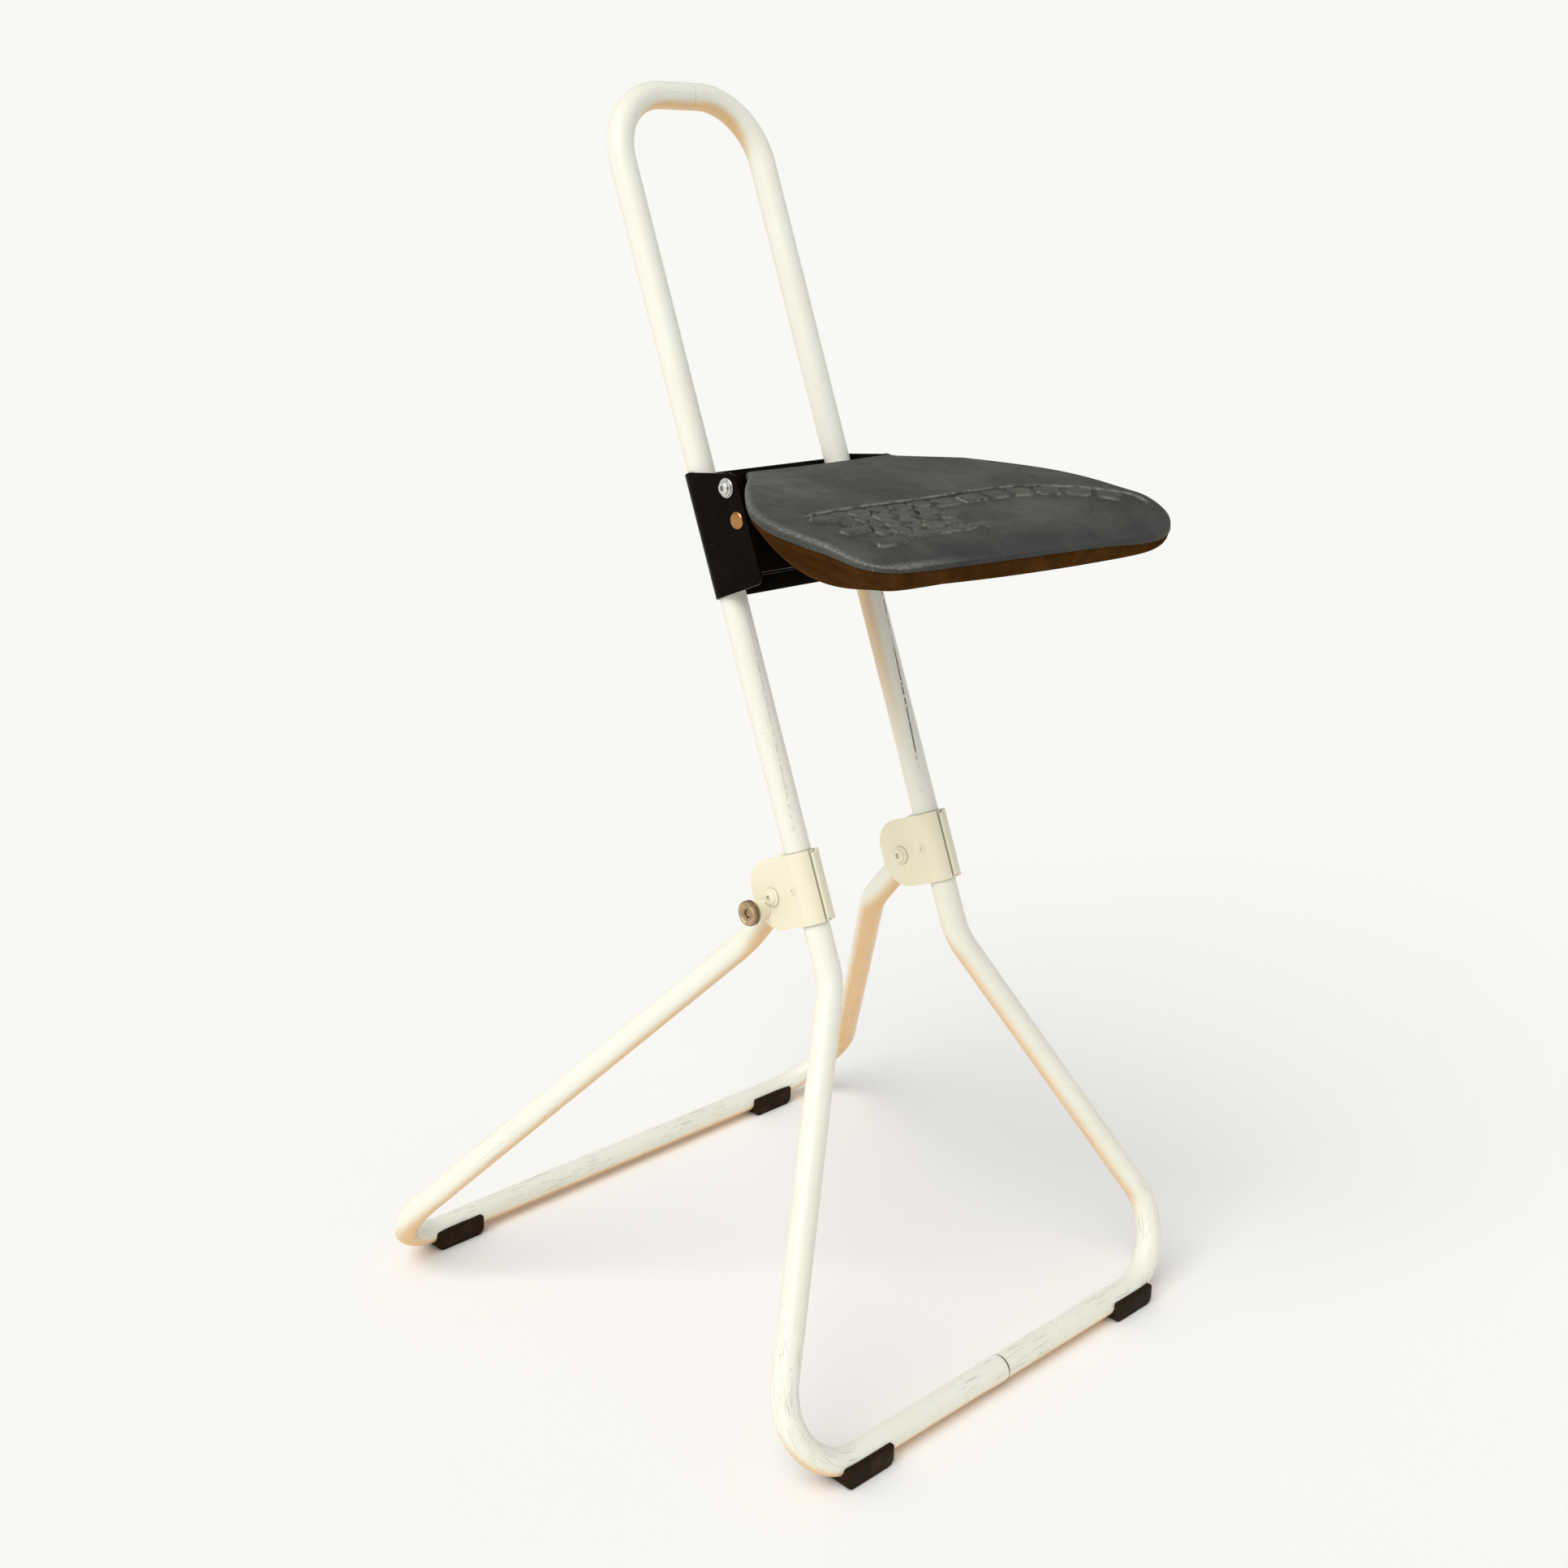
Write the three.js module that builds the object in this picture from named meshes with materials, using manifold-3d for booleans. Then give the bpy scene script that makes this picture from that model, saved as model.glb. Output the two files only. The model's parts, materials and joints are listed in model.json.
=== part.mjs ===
// A folding, height-adjustable perching stool: a leaning front frame with a handle, a rear frame that
// folds, a seat carrier that slides on the uprights and a seat that tilts up. Millimetres, +Z up.
// The stool's front faces -Y and its left side, seen from the front, is at -X.
import * as THREE from 'three';
import { mergeVertices } from 'three/addons/utils/BufferGeometryUtils.js';
import Module from 'manifold-3d';

const wasm = await Module();
wasm.setup();

// ---------------------------------------------------------------- driving dimensions
const GAP = 0.3;
const TUBE_RADIUS = 11;
const TUBE_BORE = 9.8;
const TUBE_SIDES = 16;
const BORE_SIDES = 8;
const AXIS_HEIGHT = 15;

// Front frame: heights run along its plane, from the axis of its crossbar.
const FRONT_LEAN = THREE.MathUtils.degToRad(22.6);
const UPRIGHT_X = 77;
const KNEE_UP = 353;
const FRONT_CORNER_X = 265;
const HANDLE_UP = 1086;
const KNEE_BEND = 58;
const CORNER_BEND = 55;
const HANDLE_BEND = 57;

// Rear frame: it hangs from the pivot, behind the uprights.
const PIVOT_BACK = 28;
const PIVOT_UP = 430.5;
const REAR_SPLAY = THREE.MathUtils.degToRad(38.1);
const REAR_END = 10;
const REAR_KNEE = 70;
const REAR_CORNER_X = 316;
const REAR_KNEE_BEND = 50;
const REAR_CORNER_BEND = 61;

// Hinge plates.
const PLATE = 2.5;
const PLATE_TOP = 461.5;
const PLATE_BOTTOM = 402.5;
const PLATE_BACK = 50.5;
const LAP_ANGLE = THREE.MathUtils.degToRad(30);
const PIVOT_BOLT = 4;
const NUT_RADIUS = 7.2;
const BUSH_RADIUS = 5.7;
const RIVET_BACK = 2;
const RIVET_UP = 432.5;
const RIVET_RADIUS = 2.2;

// Lock plunger, on the left hinge only.
const PLUNGER_DROP = 16.5;
const HOUSING_RADIUS = 7.5;
const HOUSING_LENGTH = 12;
const PIN_RADIUS = 3;
const KNOB_RADIUS = 10.6;
const KNOB_LENGTH = 6;

// Feet.
const FOOT_LENGTH = 52;
const FOOT_HALF_DEPTH = 14.5;
const FOOT_TOP = 19;
const FOOT_BACK_TOP = 9.5;
const FOOT_END_BEND = 6;
const FRONT_FOOT_X = 170;
const REAR_FOOT_X = 202;
const FOOT_SCREW = 1.6;

// Seat carrier: a folded sheet round the uprights.
const SHEET = 2;
const CARRIER_INNER_X = 88.7;
const CARRIER_FRONT = -52;
const CARRIER_BOTTOM = 673.5;
const CARRIER_BACK_HEIGHT = 102.5;
const CARRIER_FRONT_HEIGHT = 90.5;
const SEAT_PIVOT_BACK = -39.6;
const SEAT_PIVOT_UP = 753;
const SEAT_WASHER_RADIUS = 7.7;
const STOP_BACK = -41.3;
const STOP_UP = 726.4;
const STOP_RADIUS = 3.2;
const STOP_HEAD_RADIUS = 7;

// Seat bracket and friction parts.
const ARM_OUTER_X = 88;
const WEB_FRONT = -52.1;
const WEB_UP = [682, 760];
const ARM_BACK = -13.5;
const BAR_UP = [684, 702];
const SCREW_X = 45;
const SCREW_UPS = [700, 735];

// Seat: widths and heights in the stool's own axes, y from the front crossbar.
const SEAT_FRONT = 12;
const SEAT_HALF_WIDTH = 185;
const SEAT_BACK_HALF_WIDTH = 80;
const SEAT_CORNER = 30;
const SEAT_TAPER_START = 90;
const SEAT_TAPER = 150;
const SEAT_TOP = 738.5;
const SEAT_SLOPE = 0.115;
const SEAT_SLOPE_END = 195;
const SEAT_ROLL = 17;
const SEAT_ROLL_DEPTH = 48;
const SEAT_NOSE = 5.6;
const SEAT_BOTTOM = 658.5;
const SEAT_LOWEST = 165;
const SEAT_BOTTOM_RISE = 27;
const SEAT_DISH = 6;
const RIM = 12;
const FOAM_EDGE = 7.5;
const SHELL_WALL = 3;

// ---------------------------------------------------------------- derived places
const pivot = frontPoint(0, PIVOT_BACK, PIVOT_UP);
const REAR_LENGTH = (pivot.z - AXIS_HEIGHT) / Math.cos(REAR_SPLAY);
const REAR_Y = pivot.y + REAR_LENGTH * Math.sin(REAR_SPLAY);
const FOOTPRINT_CENTRE_Y = REAR_Y / 2;
const CHEEK_OUTER = TUBE_RADIUS + GAP + PLATE;
const openAngle = FRONT_LEAN + REAR_SPLAY;
const PLUNGER_BACK = PIVOT_BACK + PLUNGER_DROP * Math.sin(openAngle);
const PLUNGER_UP = PIVOT_UP - PLUNGER_DROP * Math.cos(openAngle);

// A point of the leaning front frame: sideways, behind its plane, and up along it.
function frontPoint(x, back, up) {
  const c = Math.cos(FRONT_LEAN);
  const s = Math.sin(FRONT_LEAN);
  return new THREE.Vector3(x, back * c + up * s, AXIS_HEIGHT - back * s + up * c);
}

// ---------------------------------------------------------------- solids
function solid(geometry) {
  const bare = geometry.clone();
  bare.deleteAttribute('normal');
  bare.deleteAttribute('uv');
  const merged = mergeVertices(bare, 1e-4);
  return new wasm.Manifold(new wasm.Mesh({
    numProp: 3,
    vertProperties: new Float32Array(merged.attributes.position.array),
    triVerts: new Uint32Array(merged.index.array),
  }));
}

function toGeometry(manifold) {
  const mesh = manifold.getMesh();
  const geometry = new THREE.BufferGeometry();
  geometry.setAttribute('position', new THREE.BufferAttribute(mesh.vertProperties, 3));
  geometry.setIndex(new THREE.BufferAttribute(mesh.triVerts, 1));
  geometry.computeVertexNormals();
  return geometry;
}

function cut(base, ...tools) {
  return toGeometry(tools.reduce((body, tool) => body.subtract(solid(tool)), solid(base)));
}

function join(base, ...others) {
  return toGeometry(others.reduce((body, other) => body.add(solid(other)), solid(base)));
}

function common(base, ...others) {
  return toGeometry(others.reduce((body, other) => body.intersect(solid(other)), solid(base)));
}

// A flat outline drawn in (Y, Z), run across X.
function acrossX(shape, fromX, toX, curveSegments = 6) {
  const options = { depth: toX - fromX, bevelEnabled: false, curveSegments };
  const geometry = new THREE.ExtrudeGeometry(shape, options);
  const turn = new THREE.Matrix4().makeBasis(
    new THREE.Vector3(0, 1, 0), new THREE.Vector3(0, 0, 1), new THREE.Vector3(1, 0, 0));
  return geometry.applyMatrix4(turn).translate(fromX, 0, 0);
}

// A flat outline drawn in (X, Z), run along Y.
function alongY(shape, fromY, toY, curveSegments = 6) {
  const options = { depth: toY - fromY, bevelEnabled: false, curveSegments };
  const geometry = new THREE.ExtrudeGeometry(shape, options);
  return geometry.rotateX(Math.PI / 2).translate(0, toY, 0);
}

// A flat outline drawn in (X, Y), run up Z.
function upZ(shape, fromZ, toZ, curveSegments = 6) {
  const options = { depth: toZ - fromZ, bevelEnabled: false, curveSegments };
  const geometry = new THREE.ExtrudeGeometry(shape, options);
  return geometry.translate(0, 0, fromZ);
}

function rodX(radius, fromX, toX, y, z, sides = 16) {
  const geometry = new THREE.CylinderGeometry(radius, radius, toX - fromX, sides);
  return geometry.rotateZ(-Math.PI / 2).translate((fromX + toX) / 2, y, z);
}

function rodY(radius, fromY, toY, x, z, sides = 12) {
  return new THREE.CylinderGeometry(radius, radius, toY - fromY, sides).translate(x, (fromY + toY) / 2, z);
}

function rodZ(radius, fromZ, toZ, x, y, sides = 12) {
  const geometry = new THREE.CylinderGeometry(radius, radius, toZ - fromZ, sides);
  return geometry.rotateX(Math.PI / 2).translate(x, y, (fromZ + toZ) / 2);
}

// A turned piece on an axis along X, from [radius, x] pairs that start and end on the axis.
function turnedX(profile, y, z, sides = 16) {
  const points = profile.map(([radius, x]) => new THREE.Vector2(radius, x));
  return new THREE.LatheGeometry(points, sides).rotateZ(-Math.PI / 2).translate(0, y, z);
}

function circle(radius, sides, Kind = THREE.Shape) {
  const points = [];
  for (let i = 0; i < sides; i += 1) {
    const angle = (2 * Math.PI * (i + 0.5)) / sides;
    points.push(new THREE.Vector2(radius * Math.cos(angle), radius * Math.sin(angle)));
  }
  return new Kind(points);
}

function ringShape(outer, inner, outerSides, innerSides) {
  const shape = circle(outer, outerSides);
  shape.holes.push(circle(inner, innerSides, THREE.Path));
  return shape;
}

function roundedBox(left, right, low, high, lowRadius, highRadius) {
  const shape = new THREE.Shape();
  shape.absarc(left + lowRadius, low + lowRadius, lowRadius, Math.PI, 1.5 * Math.PI);
  shape.absarc(right - lowRadius, low + lowRadius, lowRadius, 1.5 * Math.PI, 2 * Math.PI);
  shape.absarc(right - highRadius, high - highRadius, highRadius, 0, 0.5 * Math.PI);
  shape.absarc(left + highRadius, high - highRadius, highRadius, 0.5 * Math.PI, Math.PI);
  return shape;
}

// ---------------------------------------------------------------- bent tube
// A path of straight runs joined by round bends, with its steps only where it bends.
class BentPath extends THREE.Curve {
  constructor(corners, bends, stepAngle = THREE.MathUtils.degToRad(14)) {
    super();
    this.stations = [];
    const last = corners.length - 1;
    for (let i = 1; i < last; i += 1) {
      const into = corners[i].clone().sub(corners[i - 1]).normalize();
      const out = corners[i + 1].clone().sub(corners[i]).normalize();
      if (i === 1) this.stations.push({ point: corners[0], tangent: into });
      const turn = into.angleTo(out);
      const side = out.clone().addScaledVector(into, -Math.cos(turn)).normalize();
      const start = corners[i].clone().addScaledVector(into, -bends[i - 1] * Math.tan(turn / 2));
      const centre = start.clone().addScaledVector(side, bends[i - 1]);
      const steps = Math.ceil(turn / stepAngle);
      for (let k = 0; k <= steps; k += 1) {
        const angle = (turn * k) / steps;
        const point = centre.clone().addScaledVector(side, -bends[i - 1] * Math.cos(angle));
        point.addScaledVector(into, bends[i - 1] * Math.sin(angle));
        const tangent = into.clone().multiplyScalar(Math.cos(angle)).addScaledVector(side, Math.sin(angle));
        this.stations.push({ point, tangent });
      }
      if (i === last - 1) this.stations.push({ point: corners[last], tangent: out });
    }
  }

  get steps() {
    return this.stations.length - 1;
  }

  station(u) {
    return this.stations[Math.round(u * this.steps)];
  }

  getPointAt(u) {
    return this.station(u).point.clone();
  }

  getTangentAt(u) {
    return this.station(u).tangent.clone();
  }
}

function tube(path, section) {
  return new THREE.ExtrudeGeometry(section, { extrudePath: path, steps: path.steps, bevelEnabled: false });
}

const tubeSection = ringShape(TUBE_RADIUS, TUBE_BORE, TUBE_SIDES, BORE_SIDES);
const tubeClearance = circle(TUBE_RADIUS + GAP + 0.1, TUBE_SIDES);

const at = (x, up) => new THREE.Vector3(x, 0, up);
const frontPath = new BentPath(
  [at(GAP / 2, 0), at(FRONT_CORNER_X, 0), at(UPRIGHT_X, KNEE_UP), at(UPRIGHT_X, HANDLE_UP),
    at(-UPRIGHT_X, HANDLE_UP), at(-UPRIGHT_X, KNEE_UP), at(-FRONT_CORNER_X, 0), at(-GAP / 2, 0)],
  [CORNER_BEND, KNEE_BEND, HANDLE_BEND, HANDLE_BEND, KNEE_BEND, CORNER_BEND]);
const rearPath = new BentPath(
  [at(UPRIGHT_X, REAR_END), at(UPRIGHT_X, -REAR_KNEE), at(REAR_CORNER_X, -REAR_LENGTH),
    at(-REAR_CORNER_X, -REAR_LENGTH), at(-UPRIGHT_X, -REAR_KNEE), at(-UPRIGHT_X, REAR_END)],
  [REAR_KNEE_BEND, REAR_CORNER_BEND, REAR_CORNER_BEND, REAR_KNEE_BEND]);

// ---------------------------------------------------------------- materials and placing
const paint = () => new THREE.MeshStandardMaterial({ color: 0xf0efe2, roughness: 0.4, metalness: 0 });
const blackSteel = () => new THREE.MeshStandardMaterial({ color: 0x0e0c0a, roughness: 0.35, metalness: 0 });
const zinc = () => new THREE.MeshStandardMaterial({ color: 0xb9bab2, roughness: 0.35, metalness: 1 });
const copper = () => new THREE.MeshStandardMaterial({ color: 0xb9793f, roughness: 0.35, metalness: 1 });
const knobSteel = () => new THREE.MeshStandardMaterial({ color: 0x8c7458, roughness: 0.4, metalness: 1 });
const rubber = () => new THREE.MeshStandardMaterial({ color: 0x1c1713, roughness: 0.7, metalness: 0 });
const nylon = () => new THREE.MeshStandardMaterial({ color: 0x2a2a2a, roughness: 0.6, metalness: 0 });
const foam = () => new THREE.MeshStandardMaterial({ color: 0x3a3d38, roughness: 0.75, metalness: 0 });
const gloss = () => new THREE.MeshStandardMaterial({ color: 0x1c120a, roughness: 0.2, metalness: 0 });

const stool = new THREE.Group();
stool.position.y = -FOOTPRINT_CENTRE_Y;
const frontGroup = new THREE.Group();
frontGroup.position.z = AXIS_HEIGHT;
frontGroup.rotation.x = -FRONT_LEAN;
const rearGroup = new THREE.Group();
rearGroup.position.set(0, pivot.y, pivot.z);
rearGroup.rotation.x = REAR_SPLAY;
stool.add(frontGroup, rearGroup);

function piece(group, name, geometry, material, x = 0, y = 0, z = 0) {
  const mesh = new THREE.Mesh(geometry, material);
  mesh.name = name;
  mesh.position.set(x, y, z);
  group.add(mesh);
}

const SIDES = [['left', -1], ['right', 1]];

// ---------------------------------------------------------------- frames
function footScrewHoles(footX, group) {
  group.updateMatrix();
  const inverse = group.matrix.clone().invert();
  const y = group === rearGroup ? REAR_Y : 0;
  return SIDES.map(([, sign]) => rodZ(FOOT_SCREW + GAP, -1, AXIS_HEIGHT, sign * footX, y)
    .applyMatrix4(inverse));
}

function frontFrameTube() {
  const holes = SIDES.map(([, sign]) => rodX(RIVET_RADIUS + GAP, -20, 20, RIVET_BACK, RIVET_UP, 10)
    .translate(sign * UPRIGHT_X, 0, 0));
  return cut(tube(frontPath, tubeSection), ...holes, ...footScrewHoles(FRONT_FOOT_X, frontGroup));
}

function rearFrameTube() {
  const holes = SIDES.map(([, sign]) => rodX(BUSH_RADIUS + GAP, -20, 20, 0, 0)
    .translate(sign * UPRIGHT_X, 0, 0));
  const pinHole = rodX(PIN_RADIUS + GAP + 0.1, -UPRIGHT_X - 20, -UPRIGHT_X, 0, -PLUNGER_DROP);
  return cut(tube(rearPath, tubeSection), ...holes, pinHole, ...footScrewHoles(REAR_FOOT_X, rearGroup));
}

function jointSleeve() {
  return acrossX(ringShape(8.6, 7.2, 12, 8), -30, 30);
}

function tubePlug() {
  const neck = 8.6;
  const profile = [[0, REAR_END - 3], [neck, REAR_END - 3], [neck, REAR_END + GAP],
    [10.4, REAR_END + GAP], [9.6, REAR_END + 1.5], [0, REAR_END + 1.5]];
  const points = profile.map(([radius, z]) => new THREE.Vector2(radius, z));
  return new THREE.LatheGeometry(points, TUBE_SIDES).rotateX(Math.PI / 2);
}

function pivotBush() {
  return acrossX(ringShape(BUSH_RADIUS, PIVOT_BOLT + GAP, 16, 12), -TUBE_RADIUS, TUBE_RADIUS);
}

piece(frontGroup, 'front_frame_tube', frontFrameTube(), paint());
piece(frontGroup, 'front_joint_sleeve', jointSleeve(), zinc());
piece(rearGroup, 'rear_frame_tube', rearFrameTube(), paint());
for (const [side, sign] of SIDES) {
  piece(rearGroup, `${side}_tube_plug`, tubePlug(), nylon(), sign * UPRIGHT_X);
  piece(rearGroup, `${side}_pivot_bush`, pivotBush(), zinc(), sign * UPRIGHT_X);
}

// ---------------------------------------------------------------- feet
// A shoe under a crossbar: a block with rounded ends, hollowed to the tube that lies in it. Its front wall
// reaches above the tube's axis and its back wall stays below.
function foot(x, y, group, path) {
  const end = FOOT_LENGTH / 2;
  const side = roundedBox(x - end, x + end, 0, FOOT_TOP, FOOT_END_BEND, FOOT_END_BEND / 2);
  const bevel = 1.5;
  const profile = new THREE.Shape();
  profile.moveTo(-FOOT_HALF_DEPTH + bevel, 0);
  profile.lineTo(FOOT_HALF_DEPTH - bevel, 0);
  profile.lineTo(FOOT_HALF_DEPTH, bevel);
  profile.lineTo(FOOT_HALF_DEPTH, FOOT_BACK_TOP - bevel);
  profile.lineTo(FOOT_HALF_DEPTH - bevel, FOOT_BACK_TOP);
  profile.lineTo(0, FOOT_BACK_TOP);
  profile.lineTo(0, FOOT_TOP);
  profile.lineTo(-FOOT_HALF_DEPTH + bevel, FOOT_TOP);
  profile.lineTo(-FOOT_HALF_DEPTH, FOOT_TOP - bevel);
  profile.lineTo(-FOOT_HALF_DEPTH, bevel);
  const block = common(
    acrossX(profile, x - FOOT_LENGTH, x + FOOT_LENGTH),
    alongY(side, -FOOT_LENGTH, FOOT_LENGTH, 3)).translate(0, y, 0);
  group.updateMatrix();
  const bed = tube(path, tubeClearance).applyMatrix4(group.matrix);
  const screwHole = join(rodZ(FOOT_SCREW + GAP, -1, AXIS_HEIGHT, x, y), rodZ(3.8, -1, 2.3, x, y));
  return cut(block, bed, screwHole);
}

function footScrew(x, y) {
  const head = rodZ(3.3, 0.6, 2, x, y);
  return join(head, rodZ(FOOT_SCREW, 1, 8, x, y));
}

for (const [side, sign] of SIDES) {
  const frontX = sign * FRONT_FOOT_X;
  const rearX = sign * REAR_FOOT_X;
  piece(stool, `${side}_front_foot`, foot(frontX, 0, frontGroup, frontPath), rubber());
  piece(stool, `${side}_front_foot_screw`, footScrew(frontX, 0), zinc());
  piece(stool, `${side}_rear_foot`, foot(rearX, REAR_Y, rearGroup, rearPath), rubber());
  piece(stool, `${side}_rear_foot_screw`, footScrew(rearX, REAR_Y), zinc());
}

// ---------------------------------------------------------------- hinge brackets
// Each hinge has two plates, one on each side of the upright and the rear tube. The plate on the -X side
// hugs the upright; the plate on the +X side steps up and laps over it at the front.
function plateOutline() {
  const shape = new THREE.Shape();
  const front = -CHEEK_OUTER - GAP - PLATE;
  const frontBend = 4;
  const topBend = 23;
  const lowBend = 26;
  shape.absarc(front + frontBend, PLATE_BOTTOM + frontBend, frontBend, Math.PI, 1.5 * Math.PI);
  shape.absarc(PLATE_BACK - lowBend, PLATE_BOTTOM + lowBend, lowBend, 1.5 * Math.PI, 2 * Math.PI);
  shape.absarc(PLATE_BACK - topBend, PLATE_TOP - topBend, topBend, 0, 0.5 * Math.PI);
  shape.absarc(front + frontBend, PLATE_TOP - frontBend, frontBend, 0.5 * Math.PI, Math.PI);
  return shape;
}

function cheekSection() {
  const inner = TUBE_RADIUS + GAP;
  const end = 1.5 * Math.PI + LAP_ANGLE;
  const shape = new THREE.Shape();
  shape.moveTo(-CHEEK_OUTER, PLATE_BACK + 5);
  shape.lineTo(-CHEEK_OUTER, 0);
  shape.absarc(0, 0, CHEEK_OUTER, Math.PI, end);
  shape.absarc(0, 0, inner, end, Math.PI, true);
  shape.lineTo(-inner, PLATE_BACK + 5);
  return shape;
}

function wrapSection() {
  const rise = PLATE + GAP;
  const steps = 12;
  const radius = (angle) => {
    const share = THREE.MathUtils.smoothstep(angle, 0.25, Math.PI / 2 - LAP_ANGLE - 0.1);
    return TUBE_RADIUS + GAP + rise * share;
  };
  const outer = [new THREE.Vector2(CHEEK_OUTER, PLATE_BACK + 5)];
  const inner = [new THREE.Vector2(TUBE_RADIUS + GAP, PLATE_BACK + 5)];
  for (let i = 0; i <= steps; i += 1) {
    const angle = (Math.PI / 2) * (i / steps);
    const reach = radius(angle);
    outer.push(new THREE.Vector2((reach + PLATE) * Math.cos(angle), -(reach + PLATE) * Math.sin(angle)));
    inner.push(new THREE.Vector2(reach * Math.cos(angle), -reach * Math.sin(angle)));
  }
  return new THREE.Shape([...outer, ...inner.reverse()]);
}

function hingePlate(section, holes) {
  return cut(common(
    upZ(section, PLATE_BOTTOM - 5, PLATE_TOP + 5, 5),
    acrossX(plateOutline(), -30, 30)), ...holes);
}

function boltHole(fromX, toX) {
  return [
    rodX(PIVOT_BOLT + GAP, fromX, toX, PIVOT_BACK, PIVOT_UP),
    rodX(RIVET_RADIUS + GAP, fromX, toX, RIVET_BACK, RIVET_UP, 10),
  ];
}

function pivotBolt() {
  const face = -CHEEK_OUTER - GAP;
  return turnedX([[0, face - 2.5], [2.6, face - 2.5], [2.6, face - 4.5], [4.5, face - 4.5],
    [6.6, face - 2], [6.6, face], [PIVOT_BOLT, face], [PIVOT_BOLT, CHEEK_OUTER + 7.5],
    [0, CHEEK_OUTER + 7.5]], PIVOT_BACK, PIVOT_UP);
}

function hexNut(fromX, toX, y, z) {
  return acrossX(ringShape(NUT_RADIUS, PIVOT_BOLT + GAP, 6, 12), fromX, toX).translate(0, y, z);
}

function bracketRivet() {
  const face = CHEEK_OUTER + GAP;
  return turnedX([[0, -face - 0.6], [1, -face - 1.2], [3.4, -face - 0.8], [3.6, -face],
    [RIVET_RADIUS, -face], [RIVET_RADIUS, face], [3.6, face], [3, face + 1.2], [0, face + 1.4]],
  RIVET_BACK, RIVET_UP, 12);
}

for (const [side, sign] of SIDES) {
  const lockHole = side === 'left'
    ? [rodX(PIN_RADIUS + GAP, -30, 0, PLUNGER_BACK, PLUNGER_UP)] : [];
  const x = sign * UPRIGHT_X;
  const cheek = hingePlate(cheekSection(), [...boltHole(-30, 0), ...lockHole]);
  piece(frontGroup, `${side}_hinge_cheek`, cheek, paint(), x);
  piece(frontGroup, `${side}_hinge_wrap`, hingePlate(wrapSection(), boltHole(0, 30)), paint(), x);
  piece(frontGroup, `${side}_pivot_bolt`, pivotBolt(), paint(), x);
  piece(frontGroup, `${side}_pivot_nut`,
    hexNut(CHEEK_OUTER + GAP, CHEEK_OUTER + 6.3, PIVOT_BACK, PIVOT_UP), zinc(), x);
  piece(frontGroup, `${side}_bracket_rivet`, bracketRivet(), paint(), x);
}

// ---------------------------------------------------------------- lock plunger
// The pin slides in a housing on the left cheek. Everything is measured outwards from the cheek's face.
const HOUSING_FACE = -UPRIGHT_X - CHEEK_OUTER - GAP;
const CAP_WALL = 2.2;
const COLLAR_START = 1.2;
const COLLAR_END = 2.8;
const CHAMBER_RADIUS = 5;

function plungerHousing() {
  const end = HOUSING_FACE - HOUSING_LENGTH;
  const body = rodX(HOUSING_RADIUS, end, HOUSING_FACE, 0, 0, 20);
  const chamber = rodX(CHAMBER_RADIUS, end + CAP_WALL, HOUSING_FACE + 1, 0, 0);
  return cut(body, chamber, rodX(PIN_RADIUS + GAP, end - 1, HOUSING_FACE, 0, 0));
}

function plungerPin() {
  const tip = -UPRIGHT_X - TUBE_RADIUS - GAP;
  const tail = HOUSING_FACE - HOUSING_LENGTH - KNOB_LENGTH + 1.5;
  return turnedX([[0, tail], [PIN_RADIUS, tail], [PIN_RADIUS, HOUSING_FACE - COLLAR_END],
    [CHAMBER_RADIUS - GAP, HOUSING_FACE - COLLAR_END], [CHAMBER_RADIUS - GAP, HOUSING_FACE - COLLAR_START],
    [PIN_RADIUS, HOUSING_FACE - COLLAR_START], [PIN_RADIUS, tip], [0, tip]], 0, 0);
}

function plungerKnob() {
  const start = HOUSING_FACE - HOUSING_LENGTH - GAP;
  const end = start - KNOB_LENGTH;
  const disc = turnedX([[0, end], [KNOB_RADIUS - 1, end], [KNOB_RADIUS, end + 0.8], [KNOB_RADIUS, end + 2],
    [KNOB_RADIUS - 1.2, end + 2.6], [KNOB_RADIUS - 1.2, end + 3.4], [KNOB_RADIUS, end + 4],
    [KNOB_RADIUS, start - 0.6], [KNOB_RADIUS - 0.6, start], [0, start]], 0, 0, 24);
  return cut(disc, rodX(PIN_RADIUS + GAP, end - 1, start + 1, 0, 0));
}

// A compression spring round the pin, between the collar and the housing's end wall.
class CoilPath extends THREE.Curve {
  constructor(radius, fromX, toX, turns) {
    super();
    Object.assign(this, { radius, fromX, toX, turns });
  }

  getPoint(t) {
    const angle = 2 * Math.PI * this.turns * t;
    const x = THREE.MathUtils.lerp(this.fromX, this.toX, t);
    return new THREE.Vector3(x, this.radius * Math.cos(angle), this.radius * Math.sin(angle));
  }
}

function plungerSpring() {
  const wire = 0.35;
  const from = HOUSING_FACE - HOUSING_LENGTH + CAP_WALL + GAP + wire;
  const to = HOUSING_FACE - COLLAR_END - GAP - wire;
  const coil = new CoilPath(4.1, from, to, 4);
  return new THREE.ExtrudeGeometry(circle(wire, 5), { extrudePath: coil, steps: 48, bevelEnabled: false });
}

piece(frontGroup, 'plunger_housing', plungerHousing(), paint(), 0, PLUNGER_BACK, PLUNGER_UP);
piece(frontGroup, 'plunger_pin', plungerPin(), zinc(), 0, PLUNGER_BACK, PLUNGER_UP);
piece(frontGroup, 'plunger_knob', plungerKnob(), knobSteel(), 0, PLUNGER_BACK, PLUNGER_UP);
piece(frontGroup, 'plunger_spring', plungerSpring(), zinc(), 0, PLUNGER_BACK, PLUNGER_UP);

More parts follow.
